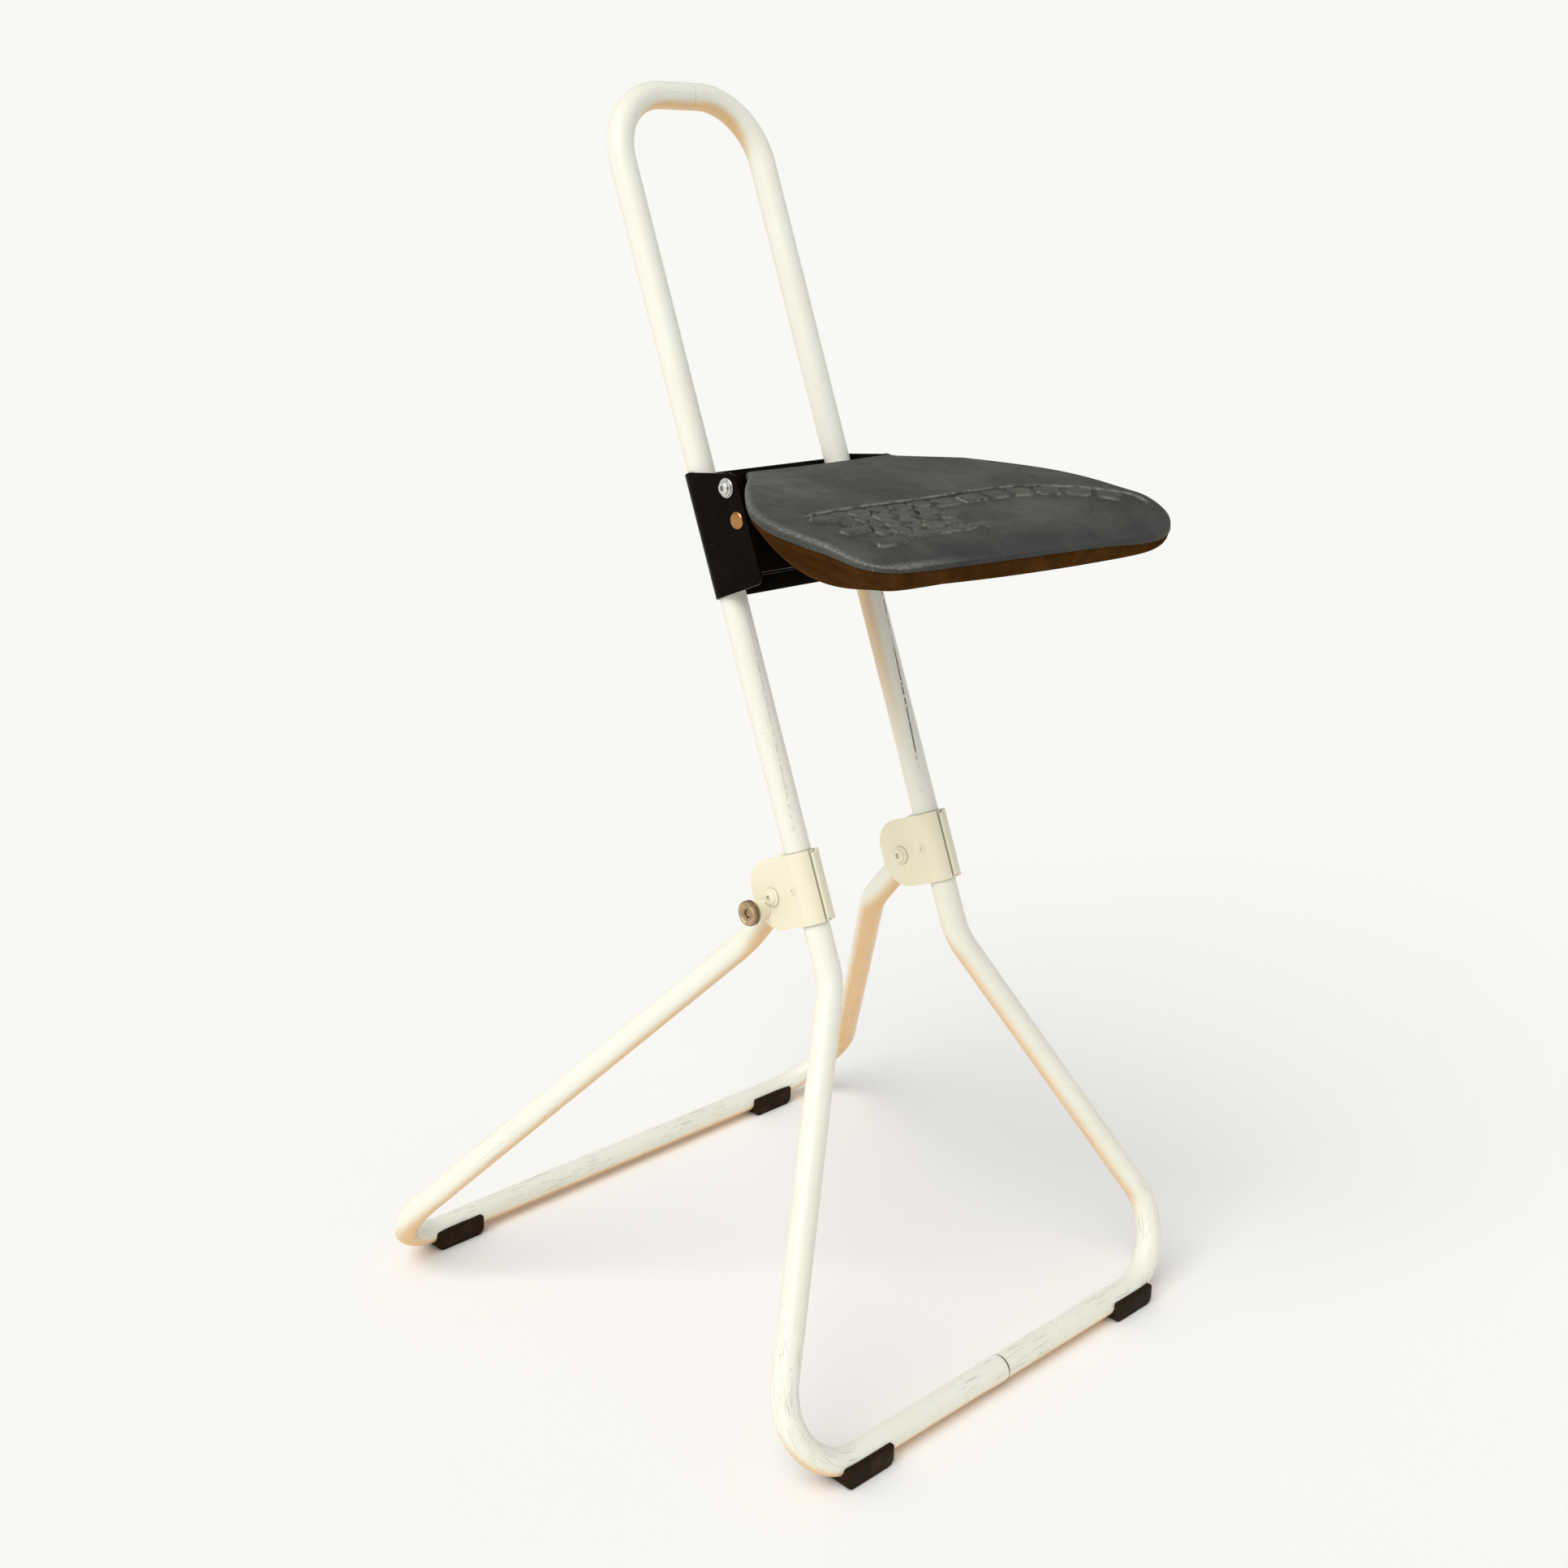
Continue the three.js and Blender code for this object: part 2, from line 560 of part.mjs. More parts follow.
// ---------------------------------------------------------------- seat carrier
function carrierSection() {
  const bend = CARRIER_INNER_X - UPRIGHT_X;
  const outerX = CARRIER_INNER_X + SHEET;
  const front = CARRIER_FRONT - 5;
  const shape = new THREE.Shape();
  shape.moveTo(outerX, front);
  shape.lineTo(outerX, 0);
  shape.absarc(UPRIGHT_X, 0, bend + SHEET, 0, 0.5 * Math.PI);
  shape.absarc(-UPRIGHT_X, 0, bend + SHEET, 0.5 * Math.PI, Math.PI);
  shape.lineTo(-outerX, front);
  shape.lineTo(-CARRIER_INNER_X, front);
  shape.absarc(-UPRIGHT_X, 0, bend, Math.PI, 0.5 * Math.PI, true);
  shape.absarc(UPRIGHT_X, 0, bend, 0.5 * Math.PI, 0, true);
  shape.lineTo(CARRIER_INNER_X, front);
  return shape;
}

function carrierOutline() {
  const shape = new THREE.Shape();
  const lowBend = 7;
  const topBend = 10;
  const behind = 20;
  const backTop = CARRIER_BOTTOM + CARRIER_BACK_HEIGHT;
  const frontTop = CARRIER_BOTTOM + CARRIER_FRONT_HEIGHT;
  shape.moveTo(behind, CARRIER_BOTTOM);
  shape.lineTo(behind, backTop);
  shape.lineTo(0, backTop);
  shape.lineTo(CARRIER_FRONT + topBend, frontTop);
  shape.absarc(CARRIER_FRONT + topBend, frontTop - topBend, topBend, 0.5 * Math.PI, Math.PI);
  shape.absarc(CARRIER_FRONT + lowBend, CARRIER_BOTTOM + lowBend, lowBend, Math.PI, 1.5 * Math.PI);
  return shape;
}

function carrierChannel() {
  return cut(
    common(upZ(carrierSection(), CARRIER_BOTTOM - 5, CARRIER_BOTTOM + 110, 5),
      acrossX(carrierOutline(), -100, 100, 4)),
    rodX(PIVOT_BOLT + GAP, -100, 100, SEAT_PIVOT_BACK, SEAT_PIVOT_UP),
    rodX(STOP_RADIUS + GAP, -100, 100, STOP_BACK, STOP_UP));
}

// Bolts and rivets are drawn for the left plate and turned round for the right one.
function seatBolt() {
  const face = -CARRIER_INNER_X - SHEET - GAP - 1.6 - GAP;
  const inner = -ARM_OUTER_X + SHEET + GAP;
  return turnedX([[0, face - 2], [2.4, face - 2], [2.4, face - 4], [4.6, face - 4], [6.4, face - 1.8],
    [6.4, face], [PIVOT_BOLT, face], [PIVOT_BOLT, inner + 7], [0, inner + 7]],
  SEAT_PIVOT_BACK, SEAT_PIVOT_UP);
}

function seatWasher() {
  const face = -CARRIER_INNER_X - SHEET - GAP;
  return acrossX(ringShape(SEAT_WASHER_RADIUS, PIVOT_BOLT + GAP, 20, 12), face - 1.6, face)
    .translate(0, SEAT_PIVOT_BACK, SEAT_PIVOT_UP);
}

function seatNut() {
  const inner = -ARM_OUTER_X + SHEET + GAP;
  return hexNut(inner, inner + 5.5, SEAT_PIVOT_BACK, SEAT_PIVOT_UP);
}

function stopRivet() {
  const face = -CARRIER_INNER_X - SHEET - GAP;
  return turnedX([[0, face - 2], [3.4, face - 1.8], [5.6, face - 1.1], [STOP_HEAD_RADIUS, face],
    [STOP_RADIUS, face], [STOP_RADIUS, -ARM_OUTER_X + SHEET + 2], [0, -ARM_OUTER_X + SHEET + 2]],
  STOP_BACK, STOP_UP, 20);
}

piece(frontGroup, 'carrier_channel', carrierChannel(), blackSteel());
for (const [side, sign] of SIDES) {
  const mirrored = (geometry) => (sign < 0 ? geometry : geometry.applyMatrix4(
    new THREE.Matrix4().makeTranslation(0, 2 * SEAT_PIVOT_BACK, 0)
      .multiply(new THREE.Matrix4().makeRotationZ(Math.PI))));
  piece(frontGroup, `${side}_seat_bolt`, mirrored(seatBolt()), zinc());
  piece(frontGroup, `${side}_seat_washer`, mirrored(seatWasher()), zinc());
  piece(frontGroup, `${side}_seat_nut`, mirrored(seatNut()), zinc());
  const rivet = stopRivet();
  if (sign > 0) rivet.rotateZ(Math.PI).translate(0, 2 * STOP_BACK, 0);
  piece(frontGroup, `${side}_stop_rivet`, rivet, copper());
}

// ---------------------------------------------------------------- seat bracket
// The arms reach from the seat bolts, round the stop rivets, to the friction bar in front of the uprights.
function armOutline() {
  const hub = 9.5;
  const sweep = 31;
  const neck = WEB_FRONT + 6;
  const backUp = SEAT_PIVOT_UP - Math.sqrt(sweep ** 2 - (ARM_BACK - SEAT_PIVOT_BACK) ** 2);
  const neckLow = Math.asin((neck - SEAT_PIVOT_BACK) / sweep);
  const neckHigh = Math.asin((neck - SEAT_PIVOT_BACK) / hub);
  const backAngle = Math.atan2(backUp - SEAT_PIVOT_UP, ARM_BACK - SEAT_PIVOT_BACK);
  const shape = new THREE.Shape();
  shape.moveTo(WEB_FRONT, WEB_UP[0]);
  shape.lineTo(ARM_BACK, WEB_UP[0]);
  shape.absarc(SEAT_PIVOT_BACK, SEAT_PIVOT_UP, sweep, backAngle, -0.5 * Math.PI + neckLow, true);
  shape.absarc(SEAT_PIVOT_BACK, SEAT_PIVOT_UP, hub, -0.5 * Math.PI + neckHigh, 0.6 * Math.PI);
  shape.lineTo(WEB_FRONT, WEB_UP[1]);
  return shape;
}

function seatBracket() {
  const section = new THREE.Shape();
  section.moveTo(-ARM_OUTER_X, WEB_FRONT);
  section.lineTo(ARM_OUTER_X, WEB_FRONT);
  section.lineTo(ARM_OUTER_X, 0);
  section.lineTo(ARM_OUTER_X - SHEET, 0);
  section.lineTo(ARM_OUTER_X - SHEET, WEB_FRONT + SHEET);
  section.lineTo(-ARM_OUTER_X + SHEET, WEB_FRONT + SHEET);
  section.lineTo(-ARM_OUTER_X + SHEET, 0);
  section.lineTo(-ARM_OUTER_X, 0);
  const screwHoles = seatScrewPlaces().map(([x, up]) => rodY(2 + GAP, WEB_FRONT - 1, WEB_FRONT + 5, x, up));
  return cut(
    common(upZ(section, WEB_UP[0] - 5, WEB_UP[1] + 5), acrossX(armOutline(), -100, 100, 8)),
    rodX(PIVOT_BOLT + GAP, -100, 100, SEAT_PIVOT_BACK, SEAT_PIVOT_UP), ...screwHoles);
}

function seatScrewPlaces() {
  return SCREW_UPS.flatMap((up) => [[-SCREW_X, up], [SCREW_X, up]]);
}

function seatScrew(x, up) {
  const face = WEB_FRONT + SHEET + GAP;
  return join(rodY(3.8, face, face + 2.2, x, up), rodY(2, face - 11, face + 1, x, up));
}

const barEnd = ARM_OUTER_X - SHEET - GAP;
const barFront = ARM_BACK - 5.2;
const bar = new THREE.BoxGeometry(2 * barEnd, 5, BAR_UP[1] - BAR_UP[0]);
const pad = new THREE.BoxGeometry(17, 1.8, BAR_UP[1] - BAR_UP[0]);
const barMiddle = (BAR_UP[0] + BAR_UP[1]) / 2;
piece(frontGroup, 'seat_bracket', seatBracket(), blackSteel());
piece(frontGroup, 'friction_bar', bar, blackSteel(), 0, barFront + 2.5, barMiddle);
for (const [side, sign] of SIDES) {
  piece(frontGroup, `${side}_friction_pad`, pad.clone(), rubber(),
    sign * (UPRIGHT_X - 0.5), barFront + 5 + GAP + 0.9, barMiddle);
}
seatScrewPlaces().forEach(([x, up], i) => {
  piece(frontGroup, `seat_screw_${i + 1}`, seatScrew(x, up), zinc());
});

// ---------------------------------------------------------------- seat
function seatHalfWidth(y) {
  const ahead = Math.max(SEAT_FRONT + SEAT_CORNER - y, 0) / (SEAT_CORNER + 0.5);
  const front = (1 - ahead ** 2.5) ** 0.125;
  const share = Math.min(Math.max(y - SEAT_TAPER_START, 0) / SEAT_TAPER, 1);
  const taper = (SEAT_HALF_WIDTH - SEAT_BACK_HALF_WIDTH) * Math.cos((Math.PI / 2) * share);
  return (SEAT_BACK_HALF_WIDTH + taper) * front;
}

function seatRimHeight(y) {
  const roll = Math.max(SEAT_FRONT + SEAT_ROLL_DEPTH - y, 0) / SEAT_ROLL_DEPTH;
  return SEAT_TOP - SEAT_SLOPE * Math.max(SEAT_SLOPE_END - y, 0) - SEAT_ROLL * roll ** 2;
}

function seatBottomHeight(y) {
  if (y > SEAT_LOWEST) return SEAT_BOTTOM + 0.003 * (y - SEAT_LOWEST) ** 2;
  return SEAT_BOTTOM + SEAT_BOTTOM_RISE * ((SEAT_LOWEST - y) / (SEAT_LOWEST - SEAT_FRONT)) ** 1.35;
}

// The edge is thinner towards the front.
function edgeShare(y) {
  return Math.min((y + 10) / 60, 1);
}

// One cross-section of the seat at y: over the top from +x to -x, then back underneath.
function seatRing(y, inset, extraTop) {
  const steps = 12;
  const half = seatHalfWidth(y) - inset;
  const rim = seatRimHeight(y);
  const dish = SEAT_DISH * Math.min((y - SEAT_FRONT) / SEAT_ROLL_DEPTH, 1);
  const nose = Math.sqrt(1 - (Math.max(SEAT_FRONT + SEAT_NOSE - 0.1 - y, 0) / SEAT_NOSE) ** 2);
  const lowRim = rim - RIM * edgeShare(y);
  const bottom = seatBottomHeight(y) + inset;
  const middle = (rim + bottom) / 2;
  const squeeze = (z) => middle + (z - middle) * nose;
  const ring = [];
  for (let i = 0; i <= steps; i += 1) {
    const across = Math.cos((Math.PI * i) / steps);
    const top = rim - dish * (1 - across ** 2);
    ring.push(new THREE.Vector3(half * across, y, squeeze(top) + extraTop));
  }
  for (let i = steps; i >= 0; i -= 1) {
    const across = Math.cos((Math.PI * i) / steps);
    const under = bottom + (lowRim - bottom) * Math.abs(across) ** 3.4;
    ring.push(new THREE.Vector3(half * across, y, squeeze(under)));
  }
  return ring;
}

// A closed skin over rings of equal length, with a fan at each end.
function loft(rings) {
  const positions = [];
  const index = [];
  const count = rings[0].length;
  for (const ring of rings) ring.forEach((p) => positions.push(p.x, p.y, p.z));
  for (let r = 0; r + 1 < rings.length; r += 1) {
    for (let i = 0; i < count; i += 1) {
      const a = r * count + i;
      const b = r * count + ((i + 1) % count);
      index.push(a, a + count, b, b, a + count, b + count);
    }
  }
  [0, rings.length - 1].forEach((r, end) => {
    const hub = positions.length / 3;
    const middle = rings[r].reduce((sum, p) => sum.add(p), new THREE.Vector3()).divideScalar(count);
    positions.push(middle.x, middle.y, middle.z);
    for (let i = 0; i < count; i += 1) {
      const a = r * count + i;
      const b = r * count + ((i + 1) % count);
      index.push(hub, ...(end ? [b, a] : [a, b]));
    }
  });
  const geometry = new THREE.BufferGeometry();
  geometry.setAttribute('position', new THREE.Float32BufferAttribute(positions, 3));
  geometry.setIndex(index);
  return geometry;
}

const SEAT_STATIONS = [SEAT_FRONT, 13.5, 17, 22, 32, 46, 62, 85, 112, 140, 165, 188, 208, 228, 252];

function seatBody(inset = 0, extraTop = 0) {
  const front = SEAT_FRONT + inset;
  const stations = SEAT_STATIONS.filter((y) => y === SEAT_FRONT || y > front + 1);
  return loft(stations.map((y) => seatRing(Math.max(y, front), inset, extraTop)));
}

// Everything behind a plane parallel to the uprights.
function behind(back) {
  const block = new THREE.BoxGeometry(500, 300, 600).translate(0, back + 150, 720);
  return block.applyMatrix4(new THREE.Matrix4().compose(
    frontGroup.position, frontGroup.quaternion, new THREE.Vector3(1, 1, 1)));
}

// Everything below the line where foam and shell meet.
function belowParting(lift) {
  const parting = (y) => seatRimHeight(y) - FOAM_EDGE * edgeShare(y) + lift;
  const shape = new THREE.Shape();
  shape.moveTo(-20, 500);
  shape.lineTo(300, 500);
  shape.lineTo(300, parting(300));
  for (const y of [...SEAT_STATIONS].reverse()) shape.lineTo(y, parting(y));
  shape.lineTo(-20, parting(SEAT_FRONT));
  return acrossX(shape, -250, 250);
}

function seatScrewHoles() {
  frontGroup.updateMatrix();
  return seatScrewPlaces().map(([x, up]) => rodY(2 + GAP, WEB_FRONT - 9.5, WEB_FRONT + 1, x, up)
    .applyMatrix4(frontGroup.matrix));
}

const SEAT_FACE = WEB_FRONT - GAP;
const SHELL_BACK_WALL = 10;

function seatShell() {
  const hollow = cut(seatBody(SHELL_WALL, 60), behind(SEAT_FACE - SHELL_BACK_WALL));
  return cut(common(seatBody(), belowParting(0)), behind(SEAT_FACE), hollow, ...seatScrewHoles());
}

function seatCushion() {
  const upper = cut(seatBody(), belowParting(GAP));
  const clearance = seatBody(SHELL_WALL + GAP, 60);
  const filling = cut(common(seatBody(), clearance), behind(SEAT_FACE - SHELL_BACK_WALL - GAP));
  return cut(join(upper, filling), behind(SEAT_FACE));
}

piece(stool, 'seat_shell', seatShell(), gloss());
piece(stool, 'seat_cushion', seatCushion(), foam());

export default stool;
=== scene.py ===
"""The looks of a folding perching stool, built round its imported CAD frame. Metres, +Z up, front towards -Y.

The tubes, the folded plates, the fasteners, the feet and the seat are rebuilt finely where the CAD has them,
and each one rides on its CAD body.
"""
import json
import math

import bmesh
import bpy
import numpy as np
from mathutils import Matrix, Vector


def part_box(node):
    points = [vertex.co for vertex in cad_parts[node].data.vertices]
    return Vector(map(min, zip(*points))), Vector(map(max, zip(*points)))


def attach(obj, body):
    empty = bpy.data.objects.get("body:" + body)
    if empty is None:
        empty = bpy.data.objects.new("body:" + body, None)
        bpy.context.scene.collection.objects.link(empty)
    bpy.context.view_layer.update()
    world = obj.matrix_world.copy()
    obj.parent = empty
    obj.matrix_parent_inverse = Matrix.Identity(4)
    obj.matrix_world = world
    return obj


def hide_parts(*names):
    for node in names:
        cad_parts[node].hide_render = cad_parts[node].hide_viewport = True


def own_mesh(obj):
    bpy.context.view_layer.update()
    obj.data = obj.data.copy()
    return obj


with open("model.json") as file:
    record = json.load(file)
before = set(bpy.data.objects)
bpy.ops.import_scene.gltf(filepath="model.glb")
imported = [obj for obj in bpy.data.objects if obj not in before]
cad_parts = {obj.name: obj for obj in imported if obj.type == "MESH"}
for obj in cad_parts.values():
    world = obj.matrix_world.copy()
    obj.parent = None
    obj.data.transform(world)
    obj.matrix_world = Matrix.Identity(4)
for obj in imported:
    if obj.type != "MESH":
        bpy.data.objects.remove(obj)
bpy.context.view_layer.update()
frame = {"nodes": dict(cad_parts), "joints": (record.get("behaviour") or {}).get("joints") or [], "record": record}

MM = 0.001
SIDES = (("left", -1), ("right", 1))
JOINTS = {joint["name"]: joint for joint in frame["joints"]}


# ---------------------------------------------------------------- places, all from the frame
def centre(node):
    low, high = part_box(node)
    return (low + high) / 2


def axes(origin, across, back, up):
    """The matrix from a local frame (across, back, up) to the row frame."""
    matrix = Matrix((across, back, up)).transposed().to_4x4()
    matrix.translation = origin
    return matrix


X_AXIS = Vector((1, 0, 0))
CROSSBAR = Vector((0, centre("front_joint_sleeve").y, centre("front_joint_sleeve").z))
FRONT_UP = Vector(JOINTS["carrier_height"]["axis"]).normalized()
FRONT_BACK = FRONT_UP.cross(X_AXIS)
FRONT = axes(CROSSBAR, X_AXIS, FRONT_BACK, FRONT_UP)
TO_FRONT = FRONT.inverted()
PIVOT = Vector(JOINTS["rear_fold"]["pos_m"])
REAR_BAR = Vector((0, centre("left_rear_foot").y, CROSSBAR.z))
REAR_UP = (PIVOT - REAR_BAR).normalized()
REAR = axes(PIVOT, X_AXIS, REAR_UP.cross(X_AXIS), REAR_UP)
REAR_LENGTH = (PIVOT - REAR_BAR).length
SEAT_PIVOT = TO_FRONT @ Vector(JOINTS["seat_tilt"]["pos_m"])
HINGE = TO_FRONT @ PIVOT
UPRIGHT_X = centre("right_pivot_bush").x

TUBE_RADIUS = 11 * MM
TUBE_BORE = 9.8 * MM
FRONT_CORNER_X = 265 * MM
REAR_CORNER_X = 316 * MM
KNEE_UP = 353 * MM
HANDLE_UP = 1086 * MM
REAR_KNEE = 70 * MM
REAR_END = 10 * MM
TUBE_SIDES = 40
BORE_SHOWN = 12 * MM
SHEET = 2 * MM
PLATE = 2.5 * MM
GAP = 0.3 * MM
PLATES_OUT = TUBE_RADIUS + GAP + PLATE
CHEEK_MIDDLE = PLATES_OUT - PLATE / 2
PLATE_BACK = 50.5 * MM
PLATE_LOW = 402.5 * MM
PLATE_HIGH = 461.5 * MM
FOOT_BACK_WALL = 9.5 * MM


# ---------------------------------------------------------------- mesh helpers
def mesh_object(name, vertices, faces, matrix=None, crease=math.radians(38)):
    mesh = bpy.data.meshes.new(name)
    mesh.from_pydata([tuple(v) for v in vertices], [], faces)
    obj = bpy.data.objects.new(name, mesh)
    bpy.context.collection.objects.link(obj)
    if matrix is not None:
        mesh.transform(matrix)
    finish_mesh(obj, crease)
    return obj


def finish_mesh(obj, crease=math.radians(38)):
    """Faces out, smooth shading, and sharp edges where the surface turns by more than crease."""
    bm = bmesh.new()
    bm.from_mesh(obj.data)
    bmesh.ops.remove_doubles(bm, verts=bm.verts, dist=1e-7)
    bmesh.ops.recalc_face_normals(bm, faces=bm.faces)
    bm.to_mesh(obj.data)
    bm.free()
    obj.data.polygons.foreach_set("use_smooth", [True] * len(obj.data.polygons))
    obj.data.set_sharp_from_angle(angle=crease)


def apply_modifiers(obj, crease=math.radians(38)):
    graph = bpy.context.evaluated_depsgraph_get()
    mesh = bpy.data.meshes.new_from_object(obj.evaluated_get(graph))
    obj.modifiers.clear()
    obj.data = mesh
    finish_mesh(obj, crease)


def modifier(obj, kind, **settings):
    added = obj.modifiers.new(kind.lower(), kind)
    for key, value in settings.items():
        setattr(added, key, value)


def bevel(obj, width, segments, **settings):
    modifier(obj, "BEVEL", width=width, segments=segments, limit_method="ANGLE",
             angle_limit=math.radians(50), **settings)


def cut_away(obj, cutter):
    modifier(obj, "BOOLEAN", operation="DIFFERENCE", solver="EXACT", object=cutter)


def part(obj, body, node):
    """obj rides on body and stands for the CAD node, which is hidden."""
    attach(obj, body)
    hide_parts(node)


def float_attribute(obj, name, values):
    attribute = obj.data.attributes.new(name, "FLOAT", "POINT")
    attribute.data.foreach_set("value", np.asarray(values, dtype=np.float32))


def vertex_values(obj, name):
    flat = np.empty(len(obj.data.vertices) * 3)
    obj.data.vertices.foreach_get(name, flat)
    return flat.reshape(-1, 3)


def coordinates(obj):
    return vertex_values(obj, "co")


def normals(obj):
    return vertex_values(obj, "normal")


def front_places(obj):
    """Each vertex's place in the front frame: across, back and up."""
    return np.array([TO_FRONT @ Vector(c) for c in coordinates(obj)])


def ring_faces(rings, around):
    """The quads between rings of around vertices each."""
    faces = []
    for start in range(0, (rings - 1) * around, around):
        for k in range(around):
            a, b = start + k, start + (k + 1) % around
            faces.append((a, b, b + around, a + around))
    return faces


def smoothstep(low, high, value):
    share = np.clip((np.asarray(value, float) - low) / (high - low), 0, 1)
    return share * share * (3 - 2 * share)


# ---------------------------------------------------------------- bent tubes
def on_bend(start, into, side, radius, angle):
    """A point on a round bend that begins at start, and the direction there."""
    point = start + side * radius * (1 - math.cos(angle)) + into * radius * math.sin(angle)
    return point, into * math.cos(angle) + side * math.sin(angle)


def tube_stations(corners, bends, spacing=16 * MM, bend_step=math.radians(5)):
    """[(point, direction)] along straight runs joined by round bends."""
    stations = []
    start = corners[0]
    for before, corner, after, radius in zip(corners, corners[1:], corners[2:], bends):
        into, out = (corner - before).normalized(), (after - corner).normalized()
        turn = into.angle(out)
        end = corner - into * radius * math.tan(turn / 2)
        pieces = max(1, round((end - start).length / spacing))
        stations += [(start.lerp(end, k / pieces), into) for k in range(pieces)]
        side = (out - into * math.cos(turn)).normalized()
        steps = math.ceil(turn / bend_step)
        stations += [on_bend(end, into, side, radius, turn * k / steps) for k in range(steps)]
        start, _ = on_bend(end, into, side, radius, turn)
    pieces = max(1, round((corners[-1] - start).length / spacing))
    into = (corners[-1] - corners[-2]).normalized()
    return stations + [(start.lerp(corners[-1], k / pieces), into) for k in range(pieces + 1)]


def bent_tube(name, corners, bends, matrix, radius_at=lambda length, total: TUBE_RADIUS):
    """A tube round a path in the local X-Z plane, with the start of its bore at each end."""
    stations = tube_stations(corners, bends)
    lengths = [0.0]
    for (a, _), (b, _) in zip(stations, stations[1:]):
        lengths.append(lengths[-1] + (b - a).length)
    total = lengths[-1]
    (first, start_way), (last, end_way) = stations[0], stations[-1]
    rings = [(first + start_way * BORE_SHOWN, start_way, 0, TUBE_BORE), (first, start_way, 0, TUBE_BORE)]
    for (point, way), length in zip(stations, lengths):
        rings.append((point, way, length, radius_at(length, total)))
    rings += [(last, end_way, total, TUBE_BORE), (last - end_way * BORE_SHOWN, end_way, total, TUBE_BORE)]
    normal = Vector((0, 1, 0))
    vertices, uvs = [], []
    for point, way, length, radius in rings:
        side = way.cross(normal).normalized()
        for k in range(TUBE_SIDES):
            angle = 2 * math.pi * k / TUBE_SIDES
            vertices.append(point + (side * math.cos(angle) + normal * math.sin(angle)) * radius)
            uvs.append((length, angle * TUBE_RADIUS))
    mesh = bpy.data.meshes.new(name)
    mesh.from_pydata([tuple(v) for v in vertices], [], ring_faces(len(rings), TUBE_SIDES))
    unwrap_tube(mesh, uvs)
    mesh.transform(matrix)
    return smooth_object(name, mesh)


def unwrap_tube(mesh, uvs):
    """UVs in metres along the tube and round it. The last face of each ring closes at a full turn."""
    layer = mesh.uv_layers.new(name="along_and_round")
    for polygon in mesh.polygons:
        around = [mesh.loops[loop].vertex_index % TUBE_SIDES for loop in polygon.loop_indices]
        for loop, step in zip(polygon.loop_indices, around):
            u, v = uvs[mesh.loops[loop].vertex_index]
            if step == 0 and TUBE_SIDES - 1 in around:
                v += 2 * math.pi * TUBE_RADIUS
            layer.data[loop].uv = (u, v)


def smooth_object(name, mesh):
    """An object of a mesh whose vertices stay unmerged, with its faces out and smooth."""
    bm = bmesh.new()
    bm.from_mesh(mesh)
    bmesh.ops.recalc_face_normals(bm, faces=bm.faces)
    bm.to_mesh(mesh)
    bm.free()
    mesh.polygons.foreach_set("use_smooth", [True] * len(mesh.polygons))
    mesh.set_sharp_from_angle(angle=math.radians(40))
    obj = bpy.data.objects.new(name, mesh)
    bpy.context.collection.objects.link(obj)
    return obj


def at(x, up):
    return Vector((x, 0, up))


def front_tube():
    """One tube from the joint in the crossbar round the frame and back, with its last end belled out."""
    gap = 0.45 * MM
    corners = [at(gap, 0), at(FRONT_CORNER_X, 0), at(UPRIGHT_X, KNEE_UP), at(UPRIGHT_X, HANDLE_UP),
               at(-UPRIGHT_X, HANDLE_UP), at(-UPRIGHT_X, KNEE_UP), at(-FRONT_CORNER_X, 0), at(-gap, 0)]
    bends = [55 * MM, 58 * MM, 57 * MM, 57 * MM, 58 * MM, 55 * MM]

    def radius_at(length, total):
        swage = float(smoothstep(total - 20 * MM, total - 13 * MM, length))
        lip = float(smoothstep(total - 1.2 * MM, total, length))
        tuck = float(smoothstep(4 * MM, 0, length))
        return TUBE_RADIUS + (0.7 * swage - 0.3 * lip - 0.25 * tuck) * MM

    return bent_tube("front_tube", corners, bends, FRONT, radius_at)


def rear_tube():
    corners = [at(UPRIGHT_X, REAR_END), at(UPRIGHT_X, -REAR_KNEE), at(REAR_CORNER_X, -REAR_LENGTH),
               at(-REAR_CORNER_X, -REAR_LENGTH), at(-UPRIGHT_X, -REAR_KNEE), at(-UPRIGHT_X, REAR_END)]
    return bent_tube("rear_tube", corners, [50 * MM, 61 * MM, 61 * MM, 50 * MM], REAR)


# ---------------------------------------------------------------- folded sheet
def sheet_part(name, section, low, high, thickness, rows=8, edge=0.35 * MM):
    """A folded sheet: section is its middle line in (across, back), low and high give its two ends."""
    vertices, faces = [], []
    for across, back in section:
        bottom, top = low(across, back), high(across, back)
        vertices += [(across, back, bottom + (top - bottom) * r / rows) for r in range(rows + 1)]
    for s in range(len(section) - 1):
        for r in range(rows):
            a = s * (rows + 1) + r
            faces.append((a, a + rows + 1, a + rows + 2, a + 1))
    obj = mesh_object(name, vertices, faces, FRONT)
    modifier(obj, "SOLIDIFY", thickness=thickness, offset=0.0, use_even_offset=True)
    bevel(obj, edge, 3, material=1)
    apply_modifiers(obj)
    return obj


def mirrored(half, middle):
    """A section in (across, back) from its right half, the point in its middle and the same at the left."""
    return half + [(0, middle)] + [(-across, back) for across, back in reversed(half)]


def two_paints(obj, body, node, faces, edges):
    """A sheet part with one finish on its faces and one on its bevelled edges."""
    for name in (faces, edges):
        obj.data.materials.append(MATERIAL[name])
    part(obj, body, node)


def arc(cx, cy, radius, start, end, steps):
    """Points on an arc, from start to end in degrees."""
    angles = [math.radians(start + (end - start) * k / steps) for k in range(steps + 1)]
    return [(cx + radius * math.cos(a), cy + radius * math.sin(a)) for a in angles]


